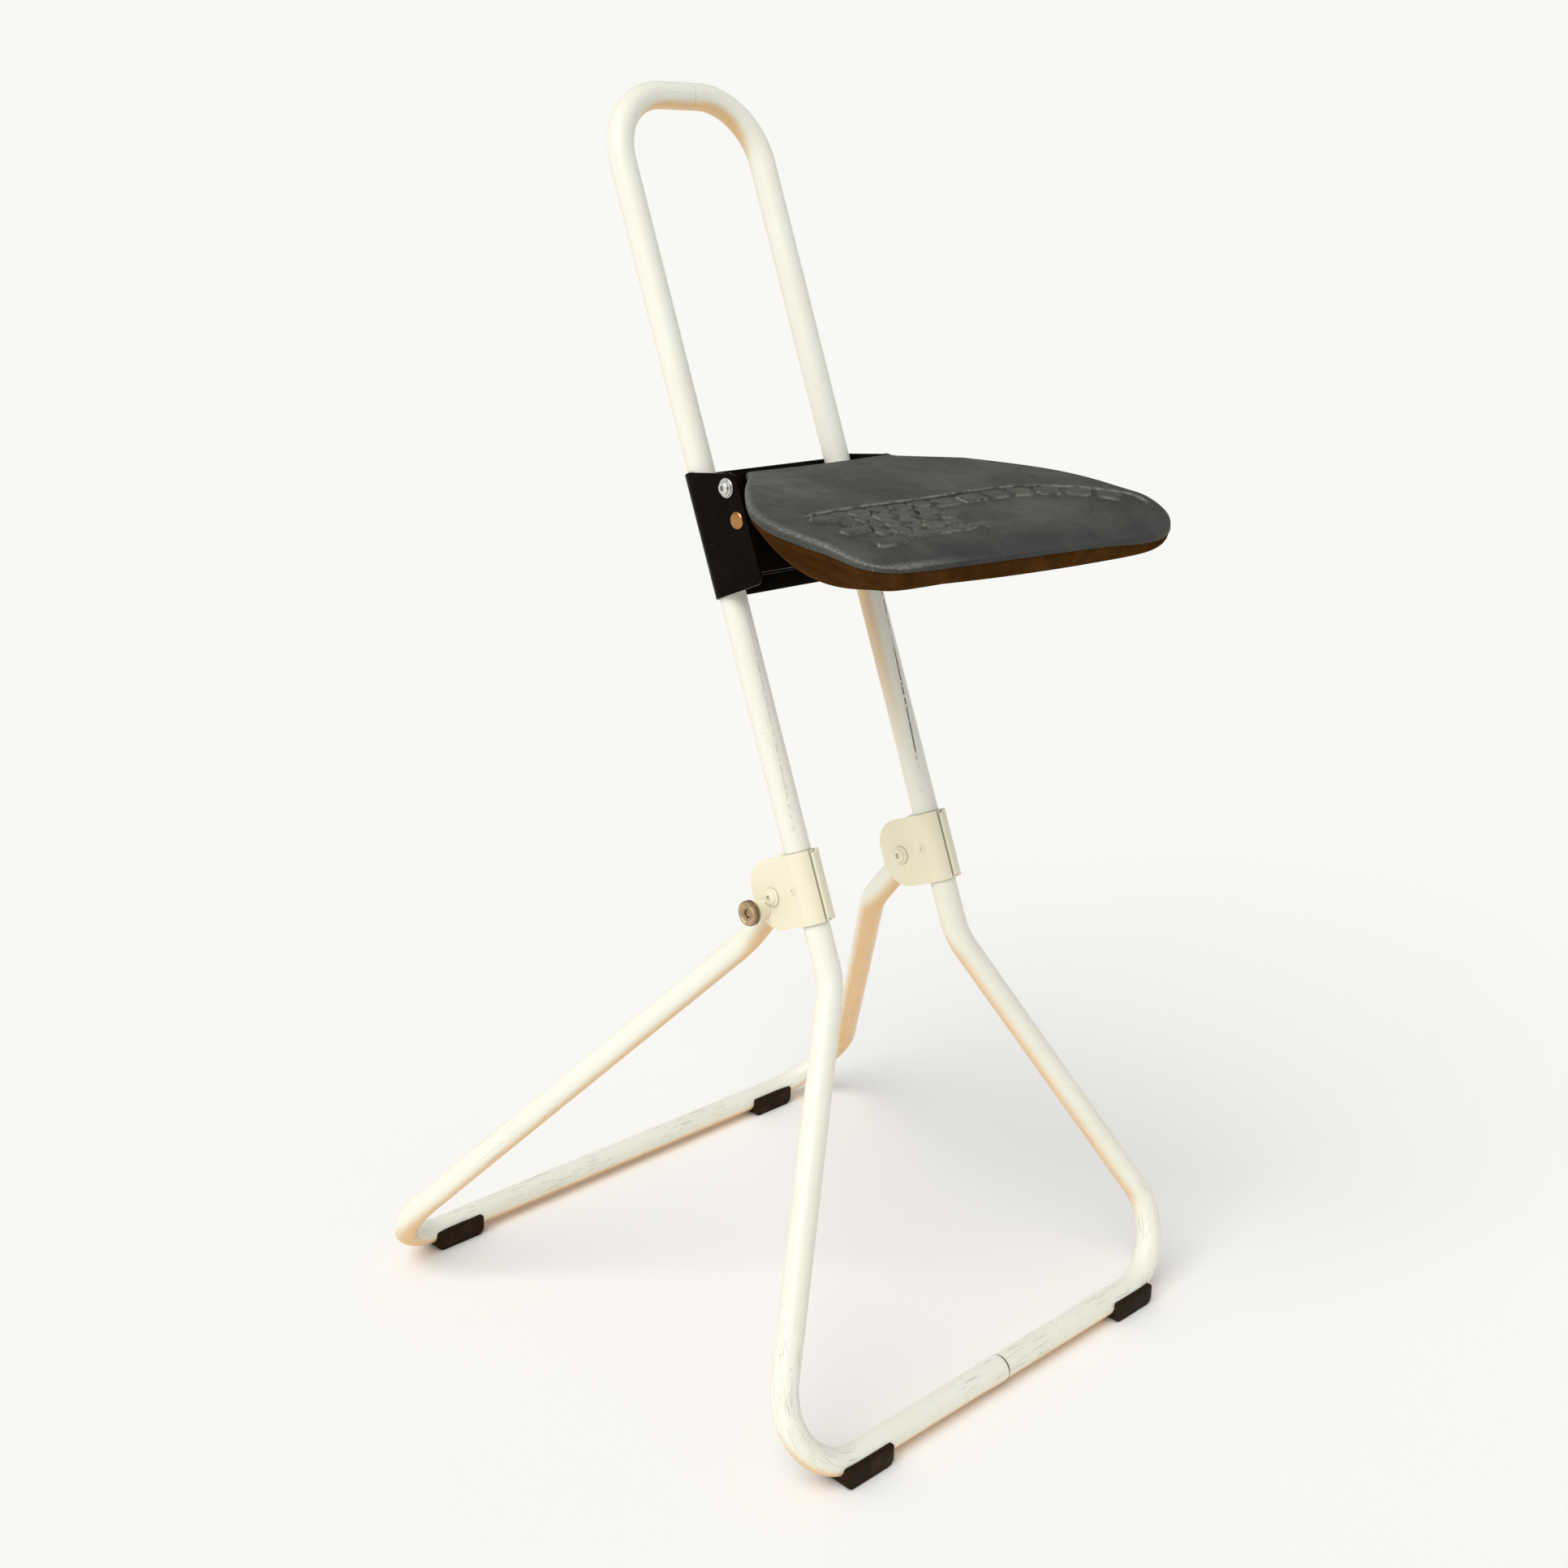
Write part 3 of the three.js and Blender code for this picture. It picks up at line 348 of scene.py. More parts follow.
def corner_rounding(distance, radius):
    """How far an edge draws in at a distance from the end of a plate that has a round corner."""
    if distance >= radius:
        return 0.0
    return radius - math.sqrt(max(radius ** 2 - (radius - max(distance, 0)) ** 2, 0))


def plate_limits(front_back, front_radius):
    """The lower and upper ends of a hinge plate, round at its two rear corners and at its front ones."""
    def low(_, back):
        return PLATE_LOW + max(corner_rounding(PLATE_BACK - back, 26 * MM),
                               corner_rounding(back - front_back, front_radius))

    def high(_, back):
        return PLATE_HIGH - max(corner_rounding(PLATE_BACK - back, 23 * MM),
                                corner_rounding(back - front_back, front_radius))
    return low, high


def hinge_plates(side, sign):
    """The cheek, folded round the tube's outer side and front, and the inner plate that wraps over it."""
    x = sign * UPRIGHT_X
    backs = [PLATE_BACK * math.sin(math.radians(a)) for a in np.linspace(90, 0, 26)][:-1]
    section = [(x - CHEEK_MIDDLE, back) for back in backs] + arc(x, 0, CHEEK_MIDDLE, 180, 300, 20)
    cheek = sheet_part(f"{side}_cheek_plate", section, *plate_limits(-40 * MM, 0), PLATE)
    two_paints(cheek, "front_frame", f"{side}_hinge_cheek", "cheek_paint", "cheek_paint")
    section = [(x + CHEEK_MIDDLE, back) for back in backs]
    for angle in np.linspace(0, math.pi / 2, 21):
        reach = CHEEK_MIDDLE + (PLATE + GAP) * float(smoothstep(0.25, math.radians(54), angle))
        section.append((x + reach * math.cos(angle), -reach * math.sin(angle)))
    wrap = sheet_part(f"{side}_wrap_plate", section, *plate_limits(-17 * MM, 7 * MM), PLATE, edge=0.8 * MM)
    # the wrap's bevelled edges take white_edge, a lighter cream that is a painted highlight
    two_paints(wrap, "front_frame", f"{side}_hinge_wrap", "white_paint", "white_edge")
    # The cheek's paint gets a thin dark line along the wrap's free edge: a painted shadow of the gap between the
    # plates.
    across, back, _ = front_places(cheek).T
    angle = np.arctan2(-back, across - x)
    float_attribute(cheek, "seam_shadow", (angle - math.radians(94)) * TUBE_RADIUS)


# ---------------------------------------------------------------- turned pieces
def turned(name, profile, place, around=40, crease=math.radians(38)):
    """A piece turned about the across axis at place, from (radius, across[, six_sided]) points."""
    vertices = []
    for reach, across, *hexed in profile:
        for k in range(around):
            angle = 2 * math.pi * k / around
            out = reach
            if hexed:
                out /= math.cos((angle + math.pi / 6) % (math.pi / 3) - math.pi / 6)
            vertices.append((across, place.y + out * math.cos(angle), place.z + out * math.sin(angle)))
    return mesh_object(name, vertices, ring_faces(len(profile), around), FRONT, crease)


def from_face(face, out, points):
    """A turned piece's points, given in millimetres: its radius, and how far out from face."""
    return [(radius * MM, face + out * far * MM, *hexed) for radius, far, *hexed in points]


def x_faces(node, sign):
    """The X of a node's outer face and of its inner one."""
    low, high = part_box(node)
    return (high.x, low.x) if sign > 0 else (low.x, high.x)


def painted(obj, slot, body, node):
    obj.data.materials.append(MATERIAL[slot])
    part(obj, body, node)


def socket_head(face, out, radius, height, socket):
    """The profile of a button head with a six-sided socket, from its middle to its edge, in millimetres."""
    floor = height * 0.25
    return from_face(face, out, [
        (0, floor), (socket * 0.96, floor, True), (socket, floor + 0.1, True), (socket, height - 0.15, True),
        (socket + 0.25, height), (radius * 0.62, height - 0.12), (radius * 0.8, height - 0.45),
        (radius * 0.93, height - 1.05), (radius, 0.6), (radius, 0.15)])


def hinge_fasteners(side, sign):
    """The painted pivot bolt with its flange, its nut, and the hollow rivet that holds the two plates."""
    x = sign * UPRIGHT_X
    outer = x - PLATES_OUT - 0.1 * MM
    inner = x + PLATES_OUT + 0.1 * MM
    profile = socket_head(outer - 2 * MM, -1, 5.7, 2.8, 2.3)
    profile += from_face(outer, -1, [(5.9, 2), (7.1, 1.9), (7.6, 1.4), (7.6, 0), (4, 0)])
    profile += from_face(x, 1, [(4, 21), (3.4, 21.6), (0, 21.6)])
    painted(turned(f"{side}_hinge_bolt", profile, HINGE), "white_paint", "front_frame", f"{side}_pivot_bolt")
    hex_nut(f"{side}_hinge_nut", inner + 0.1 * MM, 1, 6, HINGE, "front_frame", f"{side}_pivot_nut")
    place = TO_FRONT @ centre(f"{side}_bracket_rivet")
    profile = from_face(outer, 1, [(0, 3.5), (1.2, 3.3), (1.5, -0.1), (1.9, -0.65), (2.5, -0.7), (3.2, -0.45),
                                   (3.5, 0), (2.2, 0)])
    profile += from_face(inner, 1, [(2.2, 0), (3.8, 0), (3.5, 0.8), (2.4, 1.3), (0, 1.5)])
    rivet = turned(f"{side}_plate_rivet", profile, place, around=28)
    painted(rivet, "white_paint", "front_frame", f"{side}_bracket_rivet")

    # the faces in the rivet's hollow take the dark nylon finish: painted shade in the hole
    def in_hole(point):
        return math.hypot(point.y - place.y, point.z - place.z) < 1.45 * MM and point.x < x
    second_finish(rivet, "nylon", in_hole)


def second_finish(obj, slot, chosen):
    """The faces whose middle, in the front frame, is chosen take another finish."""
    obj.data.materials.append(MATERIAL[slot])
    for face in obj.data.polygons:
        if chosen(TO_FRONT @ face.center):
            face.material_index = 1


def hex_nut(name, face, out, height, place, body, node):
    """A chamfered six-sided nut with its thread hole."""
    flat, hole = 6.5, 4.05
    profile = from_face(face, out, [
        (hole, 0), (flat * 0.97, 0, True), (flat, 0.4, True), (flat, height - 0.8, True),
        (flat * 0.98, height - 0.3), (flat * 0.9, height), (hole + 0.6, height), (hole, height - 0.6),
        (hole, 0)])
    nut = turned(name, profile, place, around=60, crease=math.radians(25))
    painted(nut, "zinc", body, node)


# ---------------------------------------------------------------- lock plunger
def plunger():
    """The lock: a hollow boss on the left cheek, and a grooved knob on a pin that slides in it."""
    place = TO_FRONT @ centre("plunger_housing")
    outer, inner = x_faces("plunger_housing", -1)
    profile = from_face(outer, 1, [(3.4, 0), (6.8, 0), (7.5, 0.8)])
    profile += from_face(inner, -1, [(7.5, 1.4), (7.8, 0.5), (8.4, 0), (5, 0)])
    profile += from_face(outer, 1, [(5, 2.2), (3.4, 2.2), (3.4, 0)])
    painted(turned("plunger_boss", profile, place), "white_paint", "front_frame", "plunger_housing")
    far, near = x_faces("plunger_knob", -1)
    profile = from_face(near, -1, [(3.3, 0), (9.4, 0), (10.3, 0.3), (10.6, 0.8), (10.6, 1.5), (10.3, 1.9),
                                   (9.1, 2.2), (9, 3.2), (10.2, 3.6), (10.6, 4), (10.6, 4.9)])
    profile += from_face(far, 1, [(10.3, 0.35), (9.6, 0), (8.4, 0.05), (7.8, 0.6), (7.4, 0.6), (7, 0.3),
                                  (5, 0.3), (3.6, 0.3), (3.3, 0.6)])
    profile += from_face(near, -1, [(3.3, 0)])
    knob = turned("plunger_grip", profile, place, around=56, crease=math.radians(30))
    painted(knob, "knob_steel", "lock_plunger", "plunger_knob")
    _, back, up = front_places(knob).T
    reach = np.hypot(back - place.y, up - place.z)
    dark = np.maximum(smoothstep(9.2 * MM, 10 * MM, reach), smoothstep(7.6 * MM, 3.6 * MM, reach))
    float_attribute(knob, "dark", dark)
    tail, tip = x_faces("plunger_pin", -1)
    profile = from_face(tail, 1, [(0, 1), (1.1, 0.9), (1.4, 0.1), (2.6, 0), (3, 0.4)])
    profile += from_face(inner, -1, [(3, 2.8), (4.7, 2.8), (4.7, 1.2), (3, 1.2)])
    profile += from_face(tip, -1, [(3, 1.8), (2.5, 0), (0, 0)])
    pin = turned("plunger_stem", profile, place, around=28)
    painted(pin, "zinc", "lock_plunger", "plunger_pin")
    second_finish(pin, "knob_steel", lambda point: point.x < tail + 1.2 * MM)
    pin_spring(place)


def pin_spring(place):
    """The spring round the pin, with closed end turns."""
    low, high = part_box("plunger_spring")
    wire, reach = 0.35 * MM, 4.1 * MM
    turns, steps, sides, closed = 5, 240, 12, 0.12
    start, end = low.x + wire, high.x - wire
    vertices = []
    for share in np.linspace(0, 1, steps + 1):
        angle = 2 * math.pi * turns * share
        x = start + (end - start) * min(1.0, max(0.0, (share - closed) / (1 - 2 * closed)))
        for k in range(sides):
            side = 2 * math.pi * k / sides
            out = reach + wire * math.cos(side)
            vertices.append((x + wire * math.sin(side), place.y + out * math.cos(angle),
                             place.z + out * math.sin(angle)))
    caps = [tuple(reversed(range(sides))), tuple(range(steps * sides, (steps + 1) * sides))]
    coil = mesh_object("lock_spring", vertices, caps + ring_faces(steps + 1, sides), FRONT)
    painted(coil, "zinc", "front_frame", "plunger_spring")
    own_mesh(coil)


# ---------------------------------------------------------------- feet
def foot(side, end, tube):
    """A shoe under a crossbar: its front wall reaches above the tube's axis, its back wall stays below it."""
    node = f"{side}_{end}_foot"
    low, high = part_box(node)
    outline = []
    for cx, cz, radius, start in (
            (low.x, low.z, 7 * MM, 180), (high.x, low.z, 7 * MM, 270),
            (high.x, high.z, 2.5 * MM, 0), (low.x, high.z, 2.5 * MM, 90)):
        inward_x = radius if cx == low.x else -radius
        inward_z = radius if cz == low.z else -radius
        outline += arc(cx + inward_x, cz + inward_z, radius, start, start + 90, 6)
    shoe = block(f"{side}_{end}_shoe", outline, low.y, high.y)
    bevel(shoe, 1.5 * MM, 3)
    apply_modifiers(shoe)
    left, right, top = low.x - 10 * MM, high.x + 10 * MM, 30 * MM
    above_back = [(left, FOOT_BACK_WALL), (right, FOOT_BACK_WALL), (right, top), (left, top)]
    cutter = block("foot_cutter", above_back, (low.y + high.y) / 2, high.y + 10 * MM)
    bed = tube.copy()
    bed.data = tube.data.copy()
    bpy.context.collection.objects.link(bed)
    close_ends(bed)
    cut_away(shoe, cutter)
    apply_modifiers(shoe)
    cut_away(shoe, bed)
    bevel(shoe, 0.6 * MM, 2)
    apply_modifiers(shoe, math.radians(35))
    bpy.data.objects.remove(bed)
    bpy.data.objects.remove(cutter)
    painted(shoe, "rubber", f"{end}_frame", node)


def block(name, outline, near, far):
    """An (X, Z) outline run along Y."""
    count = len(outline)
    vertices = [(x, y, z) for y in (near, far) for x, z in outline]
    faces = [tuple(range(count)), tuple(range(2 * count - 1, count - 1, -1))]
    faces += [(k, (k + 1) % count, (k + 1) % count + count, k + count) for k in range(count)]
    return mesh_object(name, vertices, faces)


def close_ends(obj):
    """Makes a tube a closed solid, slightly fatter than it was."""
    bm = bmesh.new()
    bm.from_mesh(obj.data)
    bmesh.ops.holes_fill(bm, edges=[e for e in bm.edges if e.is_boundary], sides=0)
    bmesh.ops.recalc_face_normals(bm, faces=bm.faces)
    bm.normal_update()
    for vertex in bm.verts:
        vertex.co += vertex.normal * 0.12 * MM
    bm.to_mesh(obj.data)
    bm.free()


# ---------------------------------------------------------------- seat carrier and bracket
def carrier():
    """The channel that slides on the uprights: a web behind them and a side at each, lower at its front."""
    _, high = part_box("carrier_channel")
    bend = high.x - SHEET / 2 - UPRIGHT_X
    front, low_bend, top_bend = -52 * MM, 7 * MM, 10 * MM
    bottom, back_top, front_top = 673.5 * MM, 776 * MM, 764 * MM
    half = [(UPRIGHT_X + bend, front * math.sin(math.radians(a))) for a in np.linspace(90, 0, 22)][:-1]
    half += arc(UPRIGHT_X, 0, bend, 0, 90, 14)
    half += [(UPRIGHT_X * (1 - k / 4), bend) for k in range(1, 4)]

    def lowest(_, back):
        return bottom + corner_rounding(back - front, low_bend)

    def highest(_, back):
        share = min(max(-back / (-front - top_bend), 0), 1)
        return back_top - (back_top - front_top) * share - corner_rounding(back - front, top_bend)

    sheet = sheet_part("carrier_sheet", mirrored(half, bend), lowest, highest, SHEET)
    two_paints(sheet, "seat_carrier", "carrier_channel", "black_paint", "black_edge")


def seat_fasteners(side, sign):
    """The seat's pivot bolt with its washer and nut, and the copper rivet that the bracket's arm rests on."""
    washer_face, plate = x_faces(f"{side}_seat_washer", sign)
    profile = from_face(plate, sign, [(4.2, 0), (7.45, 0), (7.7, 0.25)])
    profile += from_face(washer_face, -sign, [(7.7, 0.3), (7.4, 0), (4.2, 0)])
    profile += from_face(plate, sign, [(4.2, 0)])
    washer = turned(f"{side}_pivot_washer", profile, SEAT_PIVOT)
    painted(washer, "zinc", "seat_carrier", f"{side}_seat_washer")
    _, inner = x_faces(f"{side}_seat_bolt", sign)
    under = washer_face + sign * 0.1 * MM
    profile = socket_head(under + sign * 1.2 * MM, sign, 5.2, 2.8, 2.1)
    profile += from_face(under, sign, [(5.6, 1.2), (6.4, 1), (6.6, 0.7), (6.6, 0), (4, 0)])
    profile += from_face(inner, sign, [(4, 0.6), (3.4, 0), (0, 0)])
    bolt = turned(f"{side}_pivot_screw", profile, SEAT_PIVOT)
    painted(bolt, "zinc", "seat_carrier", f"{side}_seat_bolt")
    start, end = x_faces(f"{side}_seat_nut", sign)
    hex_nut(f"{side}_pivot_locknut", start, -sign, abs(end - start) / MM, SEAT_PIVOT, "seat_carrier",
            f"{side}_seat_nut")
    head, shank = x_faces(f"{side}_stop_rivet", sign)
    profile = from_face(head, -sign, [(0, 0), (2.2, 0.06), (4.2, 0.3), (5.8, 0.8), (6.7, 1.4), (7, 2),
                                      (3.2, 2)])
    profile += from_face(shank, sign, [(3.2, 0), (0, 0)])
    rivet = turned(f"{side}_down_stop", profile, TO_FRONT @ centre(f"{side}_stop_rivet"))
    painted(rivet, "copper", "seat_carrier", f"{side}_stop_rivet")


def seat_bracket():
    """The folded bracket behind the seat: a web, and an arm at each side that reaches past the stop rivet."""
    _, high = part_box("seat_bracket")
    side_x = high.x - SHEET / 2
    front = -52.1 * MM + SHEET / 2
    bottom, bend = 682 * MM, 2 * MM
    hub, sweep, arm_back = 9.5 * MM, 31 * MM, -13.5 * MM
    half = [(side_x, arm_back + (front + bend - arm_back) * k / 26) for k in range(26)]
    half += arc(side_x - bend, front + bend, bend, 0, -90, 5)
    half += [(side_x * (1 - k / 5), front) for k in range(1, 5)]

    def lowest(_, back):
        return bottom + corner_rounding(arm_back - back, 3 * MM)

    def highest(_, back):
        behind = back - SEAT_PIVOT.y
        if behind <= 0:
            return SEAT_PIVOT.z + hub - 2.5 * MM * min(-behind / hub, 1)
        if behind < hub * 0.995:
            return SEAT_PIVOT.z + math.sqrt(hub ** 2 - behind ** 2)
        return SEAT_PIVOT.z - math.sqrt(max(sweep ** 2 - behind ** 2, 0))

    sheet = sheet_part("seat_bracket_sheet", mirrored(half, front), lowest, highest, SHEET, rows=10)
    two_paints(sheet, "seat", "seat_bracket", "black_paint", "bracket_edge")


# ---------------------------------------------------------------- seat
SEAT_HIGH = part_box("seat_cushion")[1]
SHELL_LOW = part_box("seat_shell")[0]
SEAT_FRONT = SHELL_LOW.y
SEAT_TOP = SEAT_HIGH.z
SEAT_BOTTOM = SHELL_LOW.z
HALF_WIDTH = SEAT_HIGH.x
BACK_HALF_WIDTH = 80 * MM
FRONT_DEPTH = 30 * MM
DISH = 6 * MM
BACK_FACE = -52.4 * MM
TAPER_START = SEAT_FRONT + 78 * MM
TAPER = 150 * MM
SLOPE_FROM = SEAT_FRONT + 183 * MM
LOWEST = SEAT_FRONT + 153 * MM
ROLL_DEPTH = 48 * MM
BACK_LEAN = FRONT_UP.y / FRONT_UP.z
SEAT_MIDDLE = np.array([0.0, SEAT_FRONT + 118 * MM])


def half_width(y):
    share = np.clip((y - TAPER_START) / TAPER, 0, 1)
    taper = BACK_HALF_WIDTH + (HALF_WIDTH - BACK_HALF_WIDTH) * np.cos(math.pi / 2 * share)
    ahead = np.clip((SEAT_FRONT + FRONT_DEPTH - y) / FRONT_DEPTH, 0, 1)
    return taper * np.maximum(1 - ahead ** 2.5, 1e-6) ** 0.1


def rim_height(x, y):
    """The rim's height: it rolls down at the front, more at the right, where the moulding has sagged."""
    roll = np.clip((SEAT_FRONT + ROLL_DEPTH - y) / ROLL_DEPTH, 0, 1)
    sag = 0.93 + 0.33 * np.clip(x / (150 * MM), -1.15, 1.15)
    return SEAT_TOP - 0.115 * np.maximum(SLOPE_FROM - y, 0) - 17 * MM * sag * roll ** 2


def under_height(y):
    ahead = np.clip((LOWEST - y) / (LOWEST - SEAT_FRONT), 0, 1)
    return SEAT_BOTTOM + 25 * MM * ahead ** 1.35 + 3 * np.maximum(y - LOWEST, 0) ** 2


def heavy_corner(x, y):
    """The right front corner's share, where the foam rolls further down over the shell."""
    return smoothstep(70 * MM, 150 * MM, x) * smoothstep(SEAT_FRONT + 140 * MM, SEAT_FRONT + 70 * MM, y)


def foam_edge(x, y):
    """The foam's thickness at its edge: thinner at the front."""
    behind = smoothstep(SEAT_FRONT + 10 * MM, SEAT_FRONT + 60 * MM, y)
    return (4.5 + 2.5 * behind + 5.5 * heavy_corner(x, y)) * MM


def back_plane_y(z):
    """The Y of the seat's back face at a height: it lies against the bracket's web."""
    anchor = FRONT @ Vector((0, BACK_FACE, 700 * MM))
    return anchor.y + (z - anchor.z) * BACK_LEAN


def seat_outline(count):
    """The seat's plan outline, anticlockwise from above, evenly spaced."""
    back_y = float(back_plane_y(SEAT_TOP))
    right = []
    for share in np.linspace(0, 1, 900)[1:]:
        angle = math.pi / 2 * share ** 5
        y = SEAT_FRONT + FRONT_DEPTH * (1 - math.cos(angle) ** 0.8)
        right.append((HALF_WIDTH * math.sin(angle) ** 0.2, y))
    for y in np.linspace(SEAT_FRONT + FRONT_DEPTH, back_y, 400)[1:]:
        right.append((float(half_width(y)), float(y)))
    corner = 9 * MM
    end_y = right[-1][1]
    right = [p for p in right if p[1] < end_y - corner]
    start_x = right[-1][0]
    for angle in np.linspace(0, math.pi / 2, 30)[1:]:
        right.append((start_x - corner * (1 - math.cos(angle)), end_y - corner + corner * math.sin(angle)))
    points = [(0.0, SEAT_FRONT), *right, (0.0, end_y)]
    points += [(-x, y) for x, y in reversed(right)]
    points.append(points[0])
    points = np.array(points)
    steps = np.hypot(*np.diff(points, axis=0).T)
    travelled = np.concatenate([[0], np.cumsum(steps)])
    places = np.linspace(0, travelled[-1], count, endpoint=False)
    return np.column_stack([np.interp(places, travelled, points[:, k]) for k in (0, 1)])


def outline_normals(outline):
    along = np.roll(outline, -1, axis=0) - np.roll(outline, 1, axis=0)
    normals = np.column_stack([along[:, 1], -along[:, 0]])
    return normals / np.hypot(*normals.T)[:, None]


def top_height(points):
    x, y = points.T
    across = np.clip(np.abs(x) / half_width(y), 0, 1)
    dish = DISH * np.clip((y - SEAT_FRONT) / ROLL_DEPTH, 0, 1)
    dish *= 0.1 + 0.9 * smoothstep(float(back_plane_y(SEAT_TOP)), float(back_plane_y(SEAT_TOP)) - 60 * MM, y)
    return rim_height(x, y) - dish * (1 - across ** 2)


# The raised pattern: a long arched bead that turns forward at the right, with rows of plain blocks in front.
BEAD_RISE = 2.4 * MM
BLOCK_RISE = 2.5 * MM


def bead_curve():
    """Points of the bead, from its left end, and how far each is along it from x = 0."""
    x = np.linspace(-200, 0, 170)
    left = np.column_stack([x, 115 - 10 * np.minimum(-x / 138, 1) ** 4])
    turn = np.linspace(0, math.pi / 2, 220)[1:]
    right = np.column_stack([170 * np.sin(turn) ** 0.588, 25 + 90 * np.cos(turn) ** 1.176])
    points = np.concatenate([left, right]) * MM
    points[:, 1] += SEAT_FRONT
    steps = np.hypot(*np.diff(points, axis=0).T)
    along = np.concatenate([[0], np.cumsum(steps)])
    return points, along - along[len(x) - 1]


BEAD, BEAD_ALONG = bead_curve()
BEAD_SIDE = np.gradient(BEAD, axis=0)[:, ::-1] * (1, -1)
BEAD_SIDE /= np.hypot(*BEAD_SIDE.T)[:, None]


def from_bead(points):
    """Each point's place along the bead and its distance in front of it."""
    offset = points[:, None, :] - BEAD[None, :, :]
    nearest = np.argmin((offset ** 2).sum(axis=2), axis=1)
    return BEAD_ALONG[nearest], (offset[np.arange(len(points)), nearest] * BEAD_SIDE[nearest]).sum(axis=1)


def block_field(along, depth, pitch, row_depth, rows, left, right, seed):
    """Rounded blocks, 1 on their tops, in rows in front of the bead between left and right."""
    rise = np.zeros_like(along)
    random = np.random.default_rng(seed)
    depth = depth - 5.5 * MM
    for row in range(rows):
        shift = pitch * (0.5 if row % 2 else 0.0)
        for column in range(int((right - left) / pitch) + 1):
            start = left + shift + column * pitch
            width = pitch * (0.80 + 0.06 * random.random())
            if start + width > right:
                continue
            slant = 0.3 * (random.random() - 0.5)
            u = np.abs(along - start - pitch / 2 - slant * (depth - row * row_depth)) - width / 2 + 2.5 * MM
            v = np.abs(depth - (row + 0.5) * row_depth) - row_depth * 0.40 + 2.5 * MM
            distance = np.hypot(np.maximum(u, 0), np.maximum(v, 0)) + np.minimum(np.maximum(u, v), 0)
            rise = np.maximum(rise, 1 - smoothstep(1.3 * MM, 2.5 * MM, distance))
    return rise


def pattern(points):
    """The bead's and the blocks' shares of their full rise."""
    along, depth = from_bead(points)
    bead = np.clip(1 - (depth / (2.4 * MM)) ** 2, 0, 1) ** 0.7 * (np.abs(depth) < 3 * MM)
    bead *= smoothstep(-142 * MM, -130 * MM, along)
    bead *= smoothstep(BEAD_ALONG[-1] - 2 * MM, BEAD_ALONG[-1] - 12 * MM, along)
    row = block_field(along, depth, 29 * MM, 21 * MM, 1, -8 * MM, 206 * MM, 3)
    wall = block_field(along, depth, 23 * MM, 15 * MM, 5, -148 * MM, -8 * MM, 5)
    return bead, np.maximum(row, wall)


def seat_mesh(name, rings):
    """Joins rings of (points, heights) into a closed skin that leans back behind with the bracket."""
    count = len(rings[0][0])
    vertices = np.concatenate([np.column_stack([points, z]) for points, z in rings])
    faces = ring_faces(len(rings), count)
    for ring in (0, len(rings) - 1):
        faces.append(tuple(range(ring * count, ring * count + count)))
    back_y = float(back_plane_y(SEAT_TOP))
    share = smoothstep(back_y - 150 * MM, back_y, vertices[:, 1])
    vertices[:, 1] += BACK_LEAN * (vertices[:, 2] - SEAT_TOP) * share
    return mesh_object(name, vertices, faces, crease=math.radians(60))


def foam_rings(outline, outward):
    """The cushion's rings, from the middle of its top, over the rim and under."""
    thickness = foam_edge(*outline.T)
    roll = 0.6 * thickness
    edge = outline - outward * roll[:, None]
    rings = []
    for scale in np.concatenate([np.linspace(0.02, 0.96, 210), [0.975, 0.987, 0.995, 1]]):
        points = SEAT_MIDDLE + (edge - SEAT_MIDDLE) * scale
        bead, blocks = pattern(points)
        rings.append((points, top_height(points) + BEAD_RISE * bead + BLOCK_RISE * blocks))
    edge_z = top_height(edge)
    for angle in np.linspace(0, math.pi / 2, 7)[1:]:
        points = edge + outward * roll[:, None] * math.sin(angle)
        rings.append((points, edge_z - roll * (1 - math.cos(angle))))
    low_z = edge_z - thickness
    rings.append((outline, low_z + 0.4 * MM))
    rings.append((outline - outward * 0.5 * MM, low_z))
    for scale, drop in ((0.98, 0.3), (0.95, 3), (0.8, 16), (0.5, 22), (0.2, 22), (0.02, 22)):
        points = SEAT_MIDDLE + (outline - SEAT_MIDDLE) * scale
        under = np.minimum(top_height(points) - drop * MM, low_z) if scale < 0.97 else low_z - drop * MM
        rings.append((points, under))
    return rings, low_z


def shell_rings(outline, outward, low_z):
    """The shell's rings: a lip inside the foam, a short wall, and the deep round underside."""
    x, y = outline.T
    front = smoothstep(SEAT_FRONT + 45 * MM, SEAT_FRONT + 8 * MM, y)
    centre = 1 - np.clip(np.abs(x) / HALF_WIDTH, 0, 1) ** 2
    wall = (4.5 + front * (4 + 4 * centre) - 2.5 * heavy_corner(x, y)) * MM
    rings = [(outline - outward * 4 * MM, low_z + 0.1 * MM), (outline - outward * 1.1 * MM, low_z - 0.1 * MM)]
    for share in np.linspace(0, 1, 6):
        angle = math.pi / 2 * share
        inward = (0.9 + (1.5 + 3 * front) * (1 - math.cos(angle))) * MM
        rings.append((outline - outward * inward[:, None], low_z - 0.7 * MM - wall * math.sin(angle)))
    start, base = rings[-1]
    for share in np.linspace(0, 1, 44)[1:]:
        scale = max(math.cos(math.pi / 2 * share), 0.02)
        points = SEAT_MIDDLE + (start - SEAT_MIDDLE) * scale
        reference = np.minimum(under_height(points[:, 1]), base)
        rings.append((points, reference + (base - reference) * scale ** 3.4))
    return rings


def seat():
    outline = seat_outline(960)
    outward = outline_normals(outline)
    rings, low_z = foam_rings(outline, outward)
    cushion = seat_mesh("foam_seat", rings)
    foam_marks(cushion)
    cushion.data.materials.append(MATERIAL["seat_foam"])
    part(cushion, "seat", "seat_cushion")
    shell = seat_mesh("seat_underside", shell_rings(outline, outward, low_z))
    shell.data.materials.append(MATERIAL["gloss_shell"])
    part(shell, "seat", "seat_shell")


